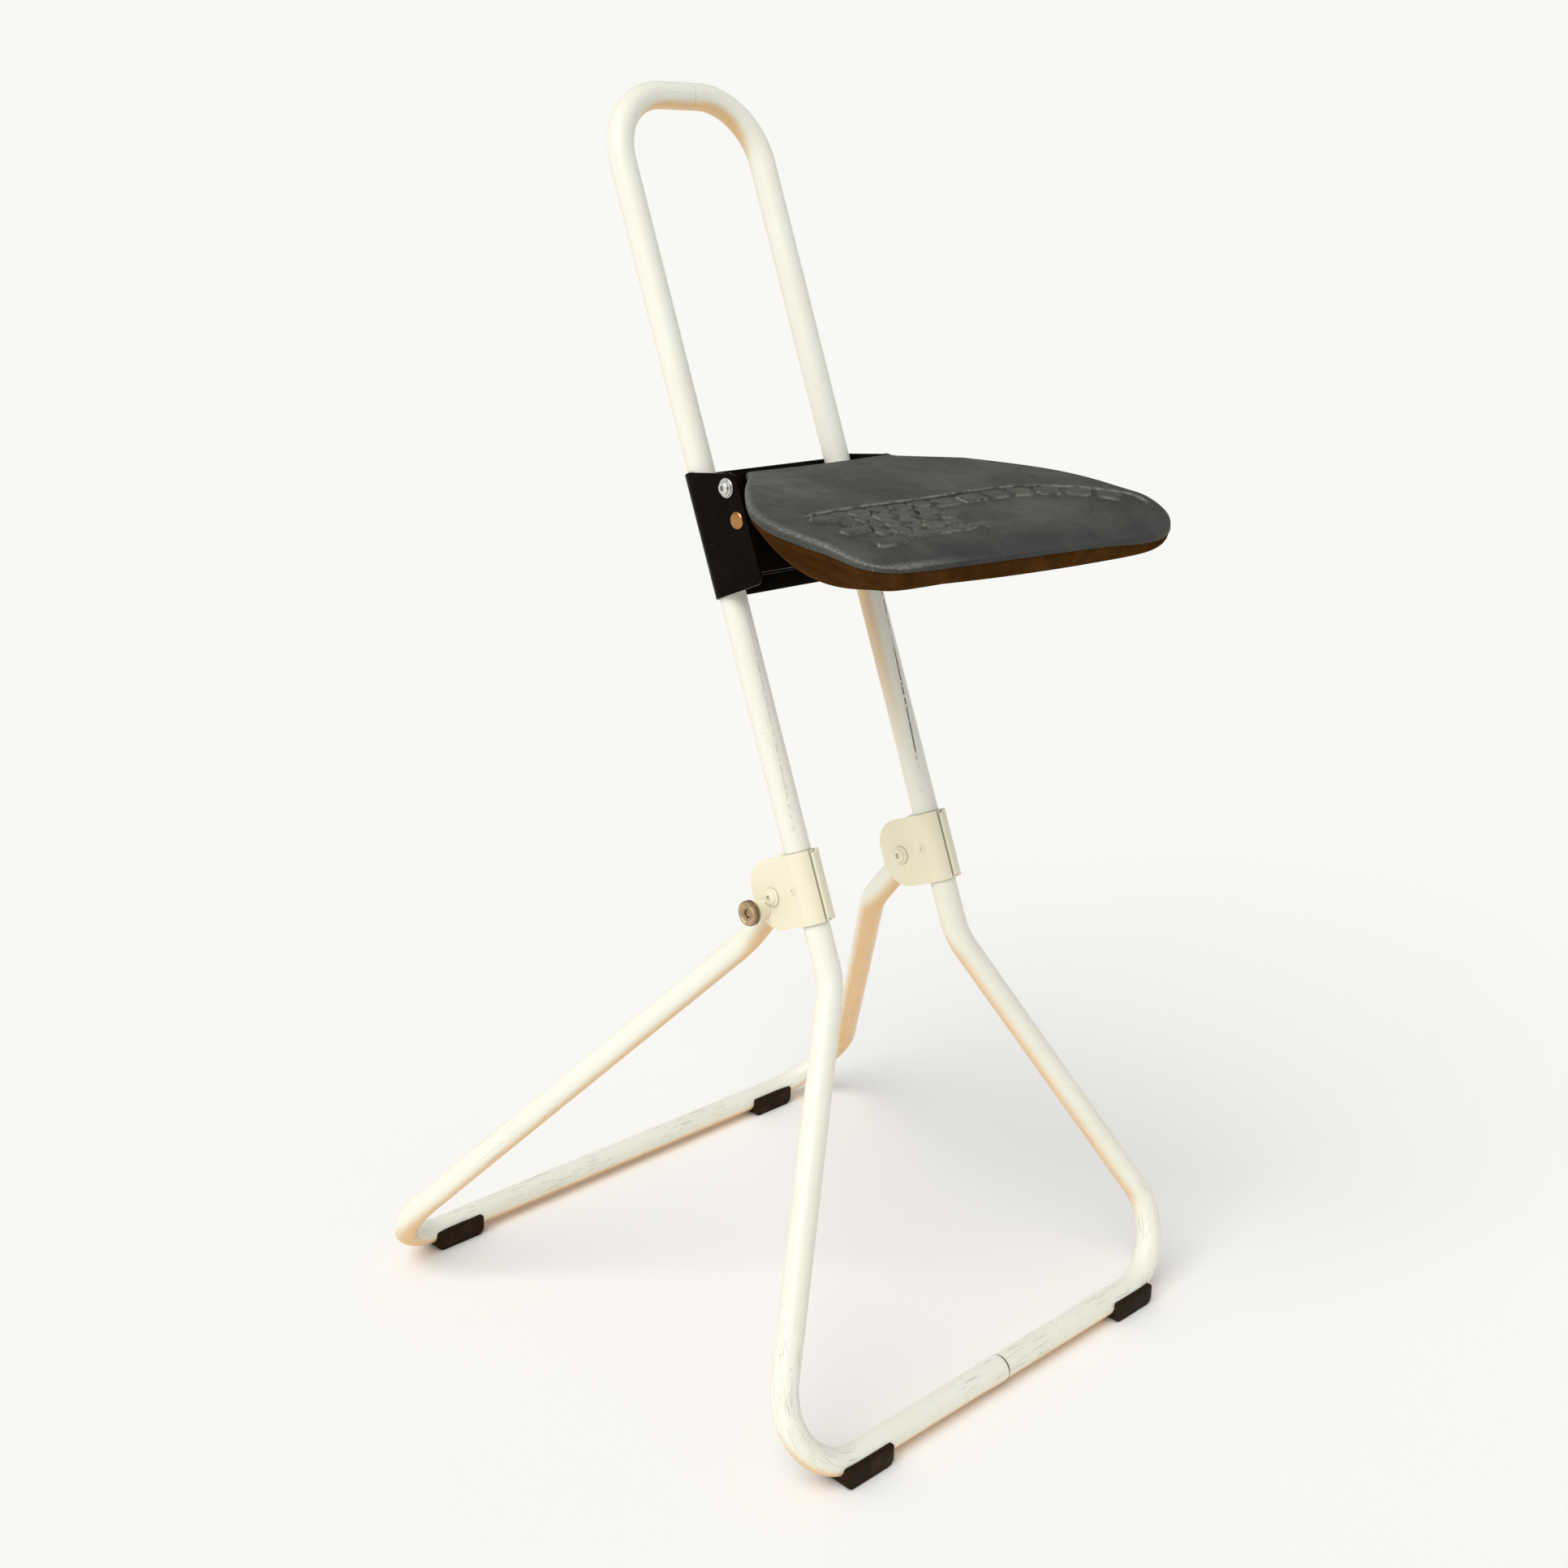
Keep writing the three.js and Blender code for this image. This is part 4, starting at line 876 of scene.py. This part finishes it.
def foam_marks(obj):
    """Where the foam is rubbed pale on its rim and is lighter on its pattern, with a painted highlight
    along the pattern's edges, and where its front roll has painted bluish shade.
    """
    points = coordinates(obj)
    x, y, z = points.T
    below = rim_height(x, y) - z
    ahead = y - SEAT_FRONT
    nearest = np.minimum(half_width(y) - np.abs(x), ahead)
    on_top = smoothstep(6 * MM, 2.5 * MM, below)
    line = smoothstep(0.3 * MM, 1.2 * MM, nearest) * smoothstep(9 * MM, 2 * MM, nearest)
    left = smoothstep(-60 * MM, -150 * MM, x)
    corner = smoothstep(110 * MM, 30 * MM, ahead)
    float_attribute(obj, "worn", line * on_top * (0.02 + 0.6 * left + 0.38 * left * corner))
    # painted bluish shade on the front roll
    float_attribute(obj, "roll_shade", smoothstep(36 * MM, 2 * MM, ahead) * smoothstep(-170 * MM, -90 * MM, x))
    shares = np.maximum(*pattern(points[:, :2]))
    on_face = smoothstep(12 * MM, 9 * MM, below)
    float_attribute(obj, "raised", shares * on_face)
    # the pattern's edges: a painted highlight
    float_attribute(obj, "brow_highlight", 4 * shares * (1 - shares) * on_face)


# ---------------------------------------------------------------- materials
class Nodes:
    """A material's node tree, with short calls for the nodes used here."""

    def __init__(self, name):
        self.material = bpy.data.materials.new(name)
        self.material.use_nodes = True
        self.tree = self.material.node_tree
        self.shader = self.tree.nodes["Principled BSDF"]
        self.place = self.tree.nodes.new("ShaderNodeTexCoord").outputs["Object"]

    def link(self, source, target):
        self.tree.links.new(source, target)
        return target

    def node(self, kind, **settings):
        made = self.tree.nodes.new(kind)
        for key, value in settings.items():
            setattr(made, key, value)
        return made

    def feed(self, socket, value):
        if isinstance(value, bpy.types.NodeSocket):
            self.link(value, socket)
        else:
            socket.default_value = value

    def scaled(self, size, source=None):
        mapping = self.node("ShaderNodeMapping")
        mapping.inputs["Scale"].default_value = size if isinstance(size, tuple) else (size, size, size)
        self.link(source or self.place, mapping.inputs["Vector"])
        return mapping.outputs["Vector"]

    def attribute(self, name):
        return self.node("ShaderNodeAttribute", attribute_name=name).outputs["Fac"]

    def noise(self, scale, detail=4.0, roughness=0.55, source=None, distortion=0.0):
        noise = self.node("ShaderNodeTexNoise")
        self.link(self.scaled(scale, source), noise.inputs["Vector"])
        noise.inputs["Scale"].default_value = 1.0
        noise.inputs["Detail"].default_value = detail
        noise.inputs["Roughness"].default_value = roughness
        noise.inputs["Distortion"].default_value = distortion
        return noise.outputs["Fac"]

    def cells(self, scale):
        cells = self.node("ShaderNodeTexVoronoi")
        self.link(self.scaled(scale), cells.inputs["Vector"])
        cells.inputs["Scale"].default_value = 1.0
        return cells.outputs["Distance"]

    def ramp(self, value, low, high):
        """0 at low and 1 at high, smoothly."""
        span = self.node("ShaderNodeMapRange", interpolation_type="SMOOTHSTEP")
        self.link(value, span.inputs["Value"])
        span.inputs["From Min"].default_value = low
        span.inputs["From Max"].default_value = high
        return span.outputs["Result"]

    def span(self, value, low, high, to_low, to_high):
        """Straight from to_low at low to to_high at high."""
        span = self.node("ShaderNodeMapRange")
        self.link(value, span.inputs["Value"])
        for key, number in (("From Min", low), ("From Max", high), ("To Min", to_low), ("To Max", to_high)):
            span.inputs[key].default_value = number
        return span.outputs["Result"]

    def math(self, operation, a, b=0.0):
        made = self.node("ShaderNodeMath", operation=operation)
        self.feed(made.inputs[0], a)
        self.feed(made.inputs[1], b)
        return made.outputs[0]

    def times(self, a, b):
        return self.math("MULTIPLY", a, b)

    def over(self, colour, mask, strength, other):
        """colour, with other over it by strength where mask is 1."""
        return self.mix(self.times(mask, strength), colour, other)

    def mix(self, factor, a, b):
        made = self.node("ShaderNodeMix", data_type="RGBA")
        self.feed(made.inputs["Factor"], factor)
        self.feed(made.inputs["A"], a)
        self.feed(made.inputs["B"], b)
        return made.outputs["Result"]

    def bump(self, height, distance, strength=1.0, under=None):
        bump = self.node("ShaderNodeBump")
        bump.inputs["Strength"].default_value = strength
        bump.inputs["Distance"].default_value = distance
        self.link(height, bump.inputs["Height"])
        if under is not None:
            self.link(under, bump.inputs["Normal"])
        return bump.outputs["Normal"]

    def finish(self, colour, roughness, normal=None, **sockets):
        self.feed(self.shader.inputs["Base Color"], colour)
        self.feed(self.shader.inputs["Roughness"], roughness)
        if normal is not None:
            self.link(normal, self.shader.inputs["Normal"])
        for key, value in sockets.items():
            self.shader.inputs[key.replace("_", " ")].default_value = value
        return self.material


CREAM = (0.81, 0.815, 0.72, 1)
CREAM_SHADE = (0.77, 0.74, 0.60, 1)
PLATE_CREAM = (0.80, 0.765, 0.595, 1)
PLATE_SHADE = (0.78, 0.69, 0.49, 1)
# the orange of a painted warm bounce light from the floor
WARM_BOUNCE_TINT = (0.71, 0.37, 0.065, 1)
# a brown for the dirt in the crossbar's joint and for the painted shade in creases
JOINT_DIRT_AND_CREASE_SHADE = (0.13, 0.095, 0.06, 1)
DARK_STEEL = (0.06, 0.055, 0.05, 1)
FAR_OFF = 0.05
# the grey of the painted shadow along the cheek's seam
SEAM_SHADOW_GREY = (0.20, 0.20, 0.18, 1)
SCRATCHED = (0.13, 0.125, 0.10, 1)
GREY_RUB = (0.5, 0.5, 0.47, 1)
# the pale cream of the painted highlight on the wrap's edges
EDGE_HIGHLIGHT_CREAM = (0.93, 0.92, 0.86, 1)


def paint_base(n, light, shade):
    """Cream paint with faint clouds."""
    cloud = n.ramp(n.noise(9, 5, 0.6), 0.35, 0.75)
    colour = n.over(light, cloud, 0.4, shade)
    fine = n.ramp(n.noise(115, 4, 0.7), 0.6, 0.8)
    return n.over(colour, fine, 0.12, shade)


def painted_crease_shade(n, colour, reach, strength):
    """colour darkened towards brown where the surface is close to another: painted shade in creases and corners.
    """
    occlusion = n.node("ShaderNodeAmbientOcclusion", samples=8)
    occlusion.inputs["Distance"].default_value = reach
    crease = n.ramp(occlusion.outputs["AO"], 0.88, 0.4)
    return n.over(colour, crease, strength, JOINT_DIRT_AND_CREASE_SHADE)


def paint_peel(n, marks):
    """The paint's fine orange peel, dented where its marks are."""
    peel = n.bump(n.noise(420, 2), 0.00008, 0.5)
    return n.bump(n.times(marks, -1.0), 0.0002, 0.6, peel)


def white_paint(name, edge=False, seam_shadow=False):
    """The plates' yellower cream, or a lighter cream for edges as a painted highlight, with a few chips."""
    n = Nodes(name)
    # edges start from the lighter tube cream, part of their painted highlight
    colour = paint_base(n, CREAM, CREAM_SHADE) if edge else paint_base(n, PLATE_CREAM, PLATE_SHADE)
    chip_zone = n.ramp(n.noise(14, 2), 0.55, 0.65)
    chip = n.times(n.ramp(n.noise((330, 330, 190), 3, 0.6), 0.71, 0.73), chip_zone)
    colour = n.over(colour, chip, 0.7, DARK_STEEL)
    # painted shade in the plates' creases and corners
    colour = painted_crease_shade(n, colour, 0.0018, 0.5)
    # a thin dark line along the seam: a painted shadow of the gap under the wrap's edge
    if seam_shadow:
        distance = n.math("ABSOLUTE", n.attribute("seam_shadow"))
        colour = n.mix(n.ramp(distance, 0.0006, 0.0002), colour, SEAM_SHADOW_GREY)
    # edges get a still lighter cream: a painted highlight
    if edge:
        colour = n.mix(0.35, colour, EDGE_HIGHLIGHT_CREAM)
    rough = n.span(n.noise(40, 3), 0.3, 0.7, 0.3, 0.44)
    return n.finish(colour, rough, paint_peel(n, chip), Specular_IOR_Level=0.4)


def slider_marks(n, uv):
    """Where the carrier has rubbed: a thin broken line of bare steel with specks, in a grey band."""
    line = n.math("ABSOLUTE", n.attribute("line"))
    wander = n.math("ADD", line, n.times(n.noise((60, 1, 1), 2, 0.5, uv), 0.0008))
    thin = n.ramp(wander, 0.0013, 0.0008)
    broken = n.ramp(n.noise((160, 60, 1), 3, 0.6, uv), 0.42, 0.50)
    run = n.ramp(n.noise((9, 1, 1), 1, 0.5, uv), 0.36, 0.48)
    bare = n.times(n.times(thin, broken), n.times(run, n.attribute("rubbed")))
    near = n.ramp(line, 0.0055, 0.001)
    speck = n.times(n.ramp(n.noise((420, 900, 1), 3, 0.6, uv), 0.65, 0.69), near)
    band = n.times(near, n.ramp(n.noise((90, 900, 1), 4, 0.6, uv), 0.5, 0.62))
    return n.math("MAXIMUM", bare, n.times(speck, 0.8)), n.times(band, 0.4)


def knock_marks(n, uv):
    """Hairlines mostly along the tube, and small chips, in patches."""
    knocks = n.attribute("knocks")
    patch = n.ramp(n.noise(15, 2), 0.45, 0.56)
    hair = n.ramp(n.noise((34, 2000, 1), 2, 0.5, uv, 0.4), 0.64, 0.68)
    chip = n.ramp(n.noise((300, 700, 1), 4, 0.6, uv), 0.66, 0.69)
    chips = n.times(chip, n.math("MAXIMUM", knocks, 0.4))
    return n.times(n.math("MAXIMUM", n.times(hair, knocks), chips), patch)


def tube_paint():
    """The tubes' paint: painted warm bounce light underneath, rubbed where the slider runs, scratched low down."""
    n = Nodes("tube_paint")
    uv = n.node("ShaderNodeUVMap", uv_map="along_and_round").outputs["UV"]
    bare, band = slider_marks(n, uv)
    marks = knock_marks(n, uv)
    colour = paint_base(n, CREAM, CREAM_SHADE)
    # painted warm bounce light on the sides that face down
    colour = n.over(colour, n.attribute("under"), 0.72, WARM_BOUNCE_TINT)
    colour = n.mix(band, colour, GREY_RUB)
    colour = n.over(colour, bare, 0.9, DARK_STEEL)
    colour = n.over(colour, marks, 0.8, SCRATCHED)
    # painted shade in the tubes' creases
    colour = painted_crease_shade(n, colour, 0.0025, 0.6)
    colour = n.mix(n.ramp(n.attribute("joint"), 0.0013, 0.0008), colour, JOINT_DIRT_AND_CREASE_SHADE)
    rough = n.math("ADD", n.span(n.noise(40, 3), 0.3, 0.7, 0.26, 0.40), n.times(band, 0.3))
    normal = paint_peel(n, n.math("MAXIMUM", bare, marks))
    return n.finish(colour, rough, normal, Specular_IOR_Level=0.45)


def black_paint(name, edge=0.0):
    """Gloss black on steel with a few scratches; an edge is pale instead: rubbed, and partly a painted highlight.
    """
    n = Nodes(name)
    smudge = n.ramp(n.noise(35, 5, 0.6), 0.45, 0.75)
    colour = n.mix(smudge, (0.0032, 0.0024, 0.0017, 1), (0.0055, 0.0042, 0.0030, 1))
    if edge:
        # pale edge: a patchy rub, with a painted highlight all along it
        rubbed = n.span(n.noise((40, 40, 90), 4, 0.6), 0.3, 0.65, 0.6 * edge, edge)
        colour = n.mix(rubbed, colour, (0.42, 0.39, 0.35, 1))
    else:
        scratch = n.ramp(n.noise((60, 60, 900), 2, 0.5), 0.72, 0.76)
        colour = n.over(colour, scratch, 0.2, (0.12, 0.11, 0.10, 1))
    normal = n.bump(n.noise(300, 2), 0.0001, 0.4)
    rough = n.span(n.noise(50, 4), 0.3, 0.7, 0.2, 0.36)
    return n.finish(colour, rough, normal, Specular_IOR_Level=0.4 if edge else 0.03,
                    Specular_Tint=(1.0, 0.9, 0.8, 1))


def zinc():
    """Plated steel with a fine spangle, specks of grime, and painted shade in its corners."""
    n = Nodes("zinc")
    colour = n.mix(n.ramp(n.cells(700), 0.1, 0.7), (0.80, 0.80, 0.77, 1), (0.71, 0.70, 0.67, 1))
    grime = n.ramp(n.noise(600, 4), 0.55, 0.75)
    colour = n.over(colour, grime, 0.4, (0.16, 0.14, 0.11, 1))
    normal = n.bump(n.noise(1500, 2), 0.00004, 0.5)
    # painted shade in the corners of the plated pieces
    colour = painted_crease_shade(n, colour, 0.0018, 0.8)
    return n.finish(colour, n.span(n.noise(500, 3), 0.3, 0.7, 0.3, 0.42), normal, Metallic=1.0)


def copper():
    n = Nodes("copper")
    tarnish = n.ramp(n.noise(450, 4), 0.4, 0.7)
    colour = n.mix(tarnish, (0.46, 0.235, 0.08, 1), (0.38, 0.185, 0.06, 1))
    normal = n.bump(n.noise(900, 3), 0.00003, 0.4)
    return n.finish(colour, n.span(n.noise(400, 3), 0.3, 0.7, 0.32, 0.42), normal, Metallic=1.0)


def knob_steel():
    n = Nodes("knob_steel")
    colour = n.mix(n.ramp(n.noise(200, 3), 0.35, 0.7), (0.64, 0.47, 0.28, 1), (0.42, 0.29, 0.165, 1))
    speck = n.ramp(n.noise(1400, 3), 0.62, 0.7)
    colour = n.over(colour, speck, 0.5, (0.55, 0.48, 0.38, 1))
    colour = n.over(colour, n.attribute("dark"), 0.6, (0.10, 0.065, 0.035, 1))
    # painted shade in the knob's grooves and corners
    colour = painted_crease_shade(n, colour, 0.0015, 0.6)
    normal = n.bump(n.noise(1200, 3), 0.00008, 0.7)
    return n.finish(colour, n.span(n.noise(300, 3), 0.3, 0.7, 0.34, 0.55), normal, Metallic=0.85)


def rubber():
    n = Nodes("rubber")
    dust = n.ramp(n.noise(60, 5, 0.6), 0.45, 0.75)
    colour = n.mix(dust, (0.018, 0.010, 0.0045, 1), (0.034, 0.021, 0.011, 1))
    normal = n.bump(n.noise(1100, 3), 0.0002, 0.5)
    return n.finish(colour, n.span(n.noise(90, 3), 0.3, 0.7, 0.42, 0.62), normal, Specular_IOR_Level=0.04)


def nylon():
    n = Nodes("nylon")
    colour = n.mix(n.ramp(n.noise(200, 3), 0.4, 0.7), (0.05, 0.05, 0.05, 1), (0.08, 0.08, 0.078, 1))
    normal = n.bump(n.noise(900, 2), 0.0001, 0.4)
    return n.finish(colour, n.span(n.noise(90, 3), 0.3, 0.7, 0.45, 0.6), normal)


def seat_foam():
    """Self-skinned foam: matte, finely grained, with a pale rub along the rim and scuffs on top."""
    n = Nodes("seat_foam")
    cloud = n.ramp(n.noise(16, 6, 0.65), 0.35, 0.72)
    colour = n.mix(cloud, (0.040, 0.0415, 0.0355, 1), (0.080, 0.0815, 0.069, 1))
    mottle = n.ramp(n.noise(900, 4, 0.7), 0.45, 0.75)
    colour = n.over(colour, mottle, 0.5, (0.13, 0.132, 0.113, 1))
    scuff_zone = n.ramp(n.noise(12, 2), 0.52, 0.62)
    scuff = n.times(n.ramp(n.noise((70, 150, 70), 5, 0.7), 0.62, 0.72), scuff_zone)
    colour = n.over(colour, scuff, 0.4, (0.19, 0.19, 0.172, 1))
    # painted bluish shade on the front roll
    colour = n.over(colour, n.attribute("roll_shade"), 0.36, (0.024, 0.028, 0.038, 1))
    colour = n.over(colour, n.attribute("raised"), 0.25, (0.11, 0.11, 0.094, 1))
    # the pattern's edges: a painted highlight, made patchy like rub
    rubbed = n.times(n.attribute("brow_highlight"), n.ramp(n.noise(90, 3), 0.35, 0.6))
    colour = n.over(colour, rubbed, 0.75, (0.27, 0.27, 0.235, 1))
    patchy = n.times(n.span(n.noise(520, 5, 0.75), 0.42, 0.66, 0.12, 1.0), 0.9)
    colour = n.over(colour, n.attribute("worn"), patchy, (0.30, 0.31, 0.28, 1))
    spots = n.times(n.ramp(n.cells(95), 0.1, 0.04), n.ramp(n.noise(31, 1), 0.6, 0.64))
    colour = n.over(colour, spots, 0.5, (0.35, 0.35, 0.33, 1))
    grain = n.bump(n.cells(1500), 0.00022, 0.55)
    normal = n.bump(n.noise(380, 3), 0.0004, 0.35, grain)
    normal = n.bump(n.noise(45, 3), 0.0012, 0.35, normal)
    rough = n.span(n.noise(60, 4), 0.3, 0.7, 0.44, 0.6)
    return n.finish(colour, rough, normal, Specular_IOR_Level=0.06)


def gloss_shell():
    """The dark brown moulded underside."""
    n = Nodes("gloss_shell")
    cloud = n.ramp(n.noise(30, 5, 0.6), 0.4, 0.7)
    colour = n.mix(cloud, (0.046, 0.0185, 0.0045, 1), (0.076, 0.034, 0.0095, 1))
    scuff_zone = n.ramp(n.noise(18, 2), 0.5, 0.6)
    scuff = n.times(n.ramp(n.noise((120, 120, 60), 5, 0.7), 0.62, 0.7), scuff_zone)
    colour = n.over(colour, scuff, 0.3, (0.20, 0.13, 0.08, 1))
    normal = n.bump(n.noise(500, 3), 0.00015, 0.5)
    return n.finish(colour, n.span(n.noise(70, 4), 0.3, 0.7, 0.3, 0.46), normal, Specular_IOR_Level=0.0)


MATERIAL = {
    "white_paint": white_paint("white_paint"),
    "white_edge": white_paint("white_edge", edge=True),
    # the cheek's paint, with a painted shadow line along its seam
    "cheek_paint": white_paint("cheek_paint", seam_shadow=True),
    "tube_paint": tube_paint(),
    "black_paint": black_paint("black_paint"),
    # the black edges: rub, with a painted highlight along them
    "black_edge": black_paint("black_edge", edge=0.6),
    "bracket_edge": black_paint("bracket_edge", edge=0.9),
    "zinc": zinc(),
    "copper": copper(),
    "knob_steel": knob_steel(),
    "rubber": rubber(),
    "nylon": nylon(),
    "seat_foam": seat_foam(),
    "gloss_shell": gloss_shell(),
}


def paint_kept_nodes():
    """The CAD pieces that stay, such as the inner hardware, get their slot's material."""
    for row in frame["record"]["subparts"]:
        obj = frame["nodes"][row["node"]]
        material = MATERIAL[row["material_slot"]]
        if not obj.material_slots:
            obj.data.materials.append(material)
        for slot in obj.material_slots:
            slot.material = material


def slider_line(across, back, up):
    """How far round the tube each point is from the line that the carrier has rubbed, which leans as it
    rises. Past the ends of its run it keeps its sign, so that no false line shows."""
    line = np.full(len(across), FAR_OFF)
    share = np.clip((up - 470 * MM) / (180 * MM), 0, 1)
    on_run = (up > 466 * MM) & (up < 700 * MM)
    for sign, high_turn in ((-1, 0), (1, 12)):
        own = np.sign(across) == sign
        turn = np.radians(-36 + (high_turn + 36) * share)
        distance = (np.arctan2(across - sign * UPRIGHT_X, -back) - turn) * TUBE_RADIUS
        line = np.where(own, np.where(on_run, distance, np.copysign(FAR_OFF, distance)), line)
    return line


def tube_wear_and_painted_bounce(obj):
    """A tube's marks: knocked low down, painted warm bounce light underneath, no joint and no rubbed line."""
    height = coordinates(obj)[:, 2]
    none = np.full(len(height), FAR_OFF)
    return {
        "knocks": 0.04 + smoothstep(240 * MM, 70 * MM, height),
        # painted warm bounce light on faces that look down
        "under": smoothstep(-0.05, -0.65, normals(obj)[:, 2]),
        "joint": none,
        "line": none,
        "rubbed": np.zeros(len(height)),
    }


def front_wear_and_painted_bounce(obj):
    """The front tube's marks: also on its handle's top, at the joint in its crossbar and along the rubbed
    line. Its far upright gets painted warm bounce light below the seat, on its shaded side away from the light."""
    across, back, up = front_places(obj).T
    marks = tube_wear_and_painted_bounce(obj)
    marks["knocks"] += 0.5 * smoothstep(1060 * MM, 1085 * MM, up)
    on_joint = (np.abs(across) < 20 * MM) & (up < 50 * MM)
    marks["joint"] = np.where(on_joint, np.abs(across), FAR_OFF)
    marks["line"] = slider_line(across, back, up)
    marks["rubbed"] = np.where(across > 0, 1.0, 0.25)
    # painted warm bounce light on the far upright's shaded side below the seat
    away = smoothstep(-0.1, 0.4, normals(obj) @ (-0.71, 0.70, 0))
    below_seat = smoothstep(480 * MM, 640 * MM, up) * (up < 700 * MM)
    marks["under"] = np.maximum(marks["under"], 0.75 * away * below_seat * (across > 0))
    return marks


def paint_tube(obj, marks):
    for name, values in marks.items():
        float_attribute(obj, name, np.minimum(values, 1))
    obj.data.materials.append(MATERIAL["tube_paint"])


# ---------------------------------------------------------------- building it
front = front_tube()
paint_tube(front, front_wear_and_painted_bounce(front))
rear = rear_tube()
paint_tube(rear, tube_wear_and_painted_bounce(rear))
for side, sign in SIDES:
    foot(side, "front", front)
    foot(side, "rear", rear)
    hinge_plates(side, sign)
    hinge_fasteners(side, sign)
    seat_fasteners(side, sign)
part(front, "front_frame", "front_frame_tube")
part(rear, "rear_frame", "rear_frame_tube")
plunger()
carrier()
seat_bracket()
seat()
paint_kept_nodes()


# ---------------------------------------------------------------- floor, light and camera
def floor():
    size = 60.0
    corners = [(-size, -size, 0), (size, -size, 0), (size, size, 0), (-size, size, 0)]
    obj = mesh_object("floor", corners, [(0, 1, 2, 3)])
    n = Nodes("floor")
    colour = n.mix(n.noise(2, 3), (0.925, 0.915, 0.895, 1), (0.94, 0.93, 0.91, 1))
    obj.data.materials.append(n.finish(colour, 0.9, Specular_IOR_Level=0.0))


def lamp(name, kind, energy, colour, beam):
    """A light of some kind that shines along beam."""
    light = bpy.data.lights.new(name, kind)
    light.energy = energy
    light.color = colour
    obj = bpy.data.objects.new(name, light)
    bpy.context.collection.objects.link(obj)
    obj.rotation_euler = beam.to_track_quat("-Z", "Y").to_euler()
    return obj


def bounce_card():
    """A warm glow from the floor under the frame, which the camera doesn't see."""
    card = lamp("bounce_card", "AREA", 0.8, (1.0, 0.62, 0.25), Vector((0, 0, 1)))
    card.data.shape = "DISK"
    card.data.size = 1.7
    card.location = (0, -0.1, 0.004)
    card.visible_camera = False


def direction(azimuth, elevation):
    """The way towards a place seen at these angles, in degrees: azimuth 0 is the front."""
    azimuth, elevation = math.radians(azimuth), math.radians(elevation)
    level = math.cos(elevation)
    return Vector((math.sin(azimuth) * level, -math.cos(azimuth) * level, math.sin(elevation)))


def camera():
    roll = math.radians(1.47)
    target = Vector((-0.01698, 0.00862, 0.46665))
    distance = 1.6725
    outward = direction(-44.72, 17.79)
    right = Vector((0, 0, 1)).cross(outward).normalized()
    up = outward.cross(right)
    turned_right = right * math.cos(roll) + up * math.sin(roll)
    turned_up = up * math.cos(roll) - right * math.sin(roll)
    lens = bpy.data.cameras.new("camera")
    lens.sensor_width = 36
    lens.lens = 45.363
    obj = bpy.data.objects.new("camera", lens)
    bpy.context.collection.objects.link(obj)
    obj.matrix_world = axes(target + outward * distance, turned_right, turned_up, outward)
    bpy.context.scene.camera = obj


def studio_world():
    """A pale band at the horizon, as bright as the floor, under a dimmer, cooler ceiling."""
    world = bpy.data.worlds.new("studio")
    world.use_nodes = True
    tree = world.node_tree
    background = tree.nodes["Background"]
    way = tree.nodes.new("ShaderNodeTexCoord").outputs["Generated"]
    parts = tree.nodes.new("ShaderNodeSeparateXYZ")
    tree.links.new(way, parts.inputs["Vector"])
    rise = tree.nodes.new("ShaderNodeMapRange")
    rise.interpolation_type = "SMOOTHSTEP"
    rise.inputs["From Min"].default_value = 0.07
    rise.inputs["From Max"].default_value = 0.32
    tree.links.new(parts.outputs["Z"], rise.inputs["Value"])
    mix = tree.nodes.new("ShaderNodeMix")
    mix.data_type = "RGBA"
    tree.links.new(rise.outputs["Result"], mix.inputs["Factor"])
    mix.inputs["A"].default_value = (0.945, 0.936, 0.908, 1)
    mix.inputs["B"].default_value = (0.50, 0.51, 0.52, 1)
    tree.links.new(mix.outputs["Result"], background.inputs["Color"])
    bpy.context.scene.world = world


def sun(azimuth, elevation, strength, spread, colour):
    """A wide soft sun, spread degrees across."""
    key = lamp("key", "SUN", strength, colour, -direction(azimuth, elevation))
    key.data.angle = math.radians(spread)


floor()
studio_world()
sun(-80, 50, 2.05, 45, (1.0, 0.985, 0.955))
bounce_card()
camera()
bpy.context.scene.view_settings.view_transform = "Standard"
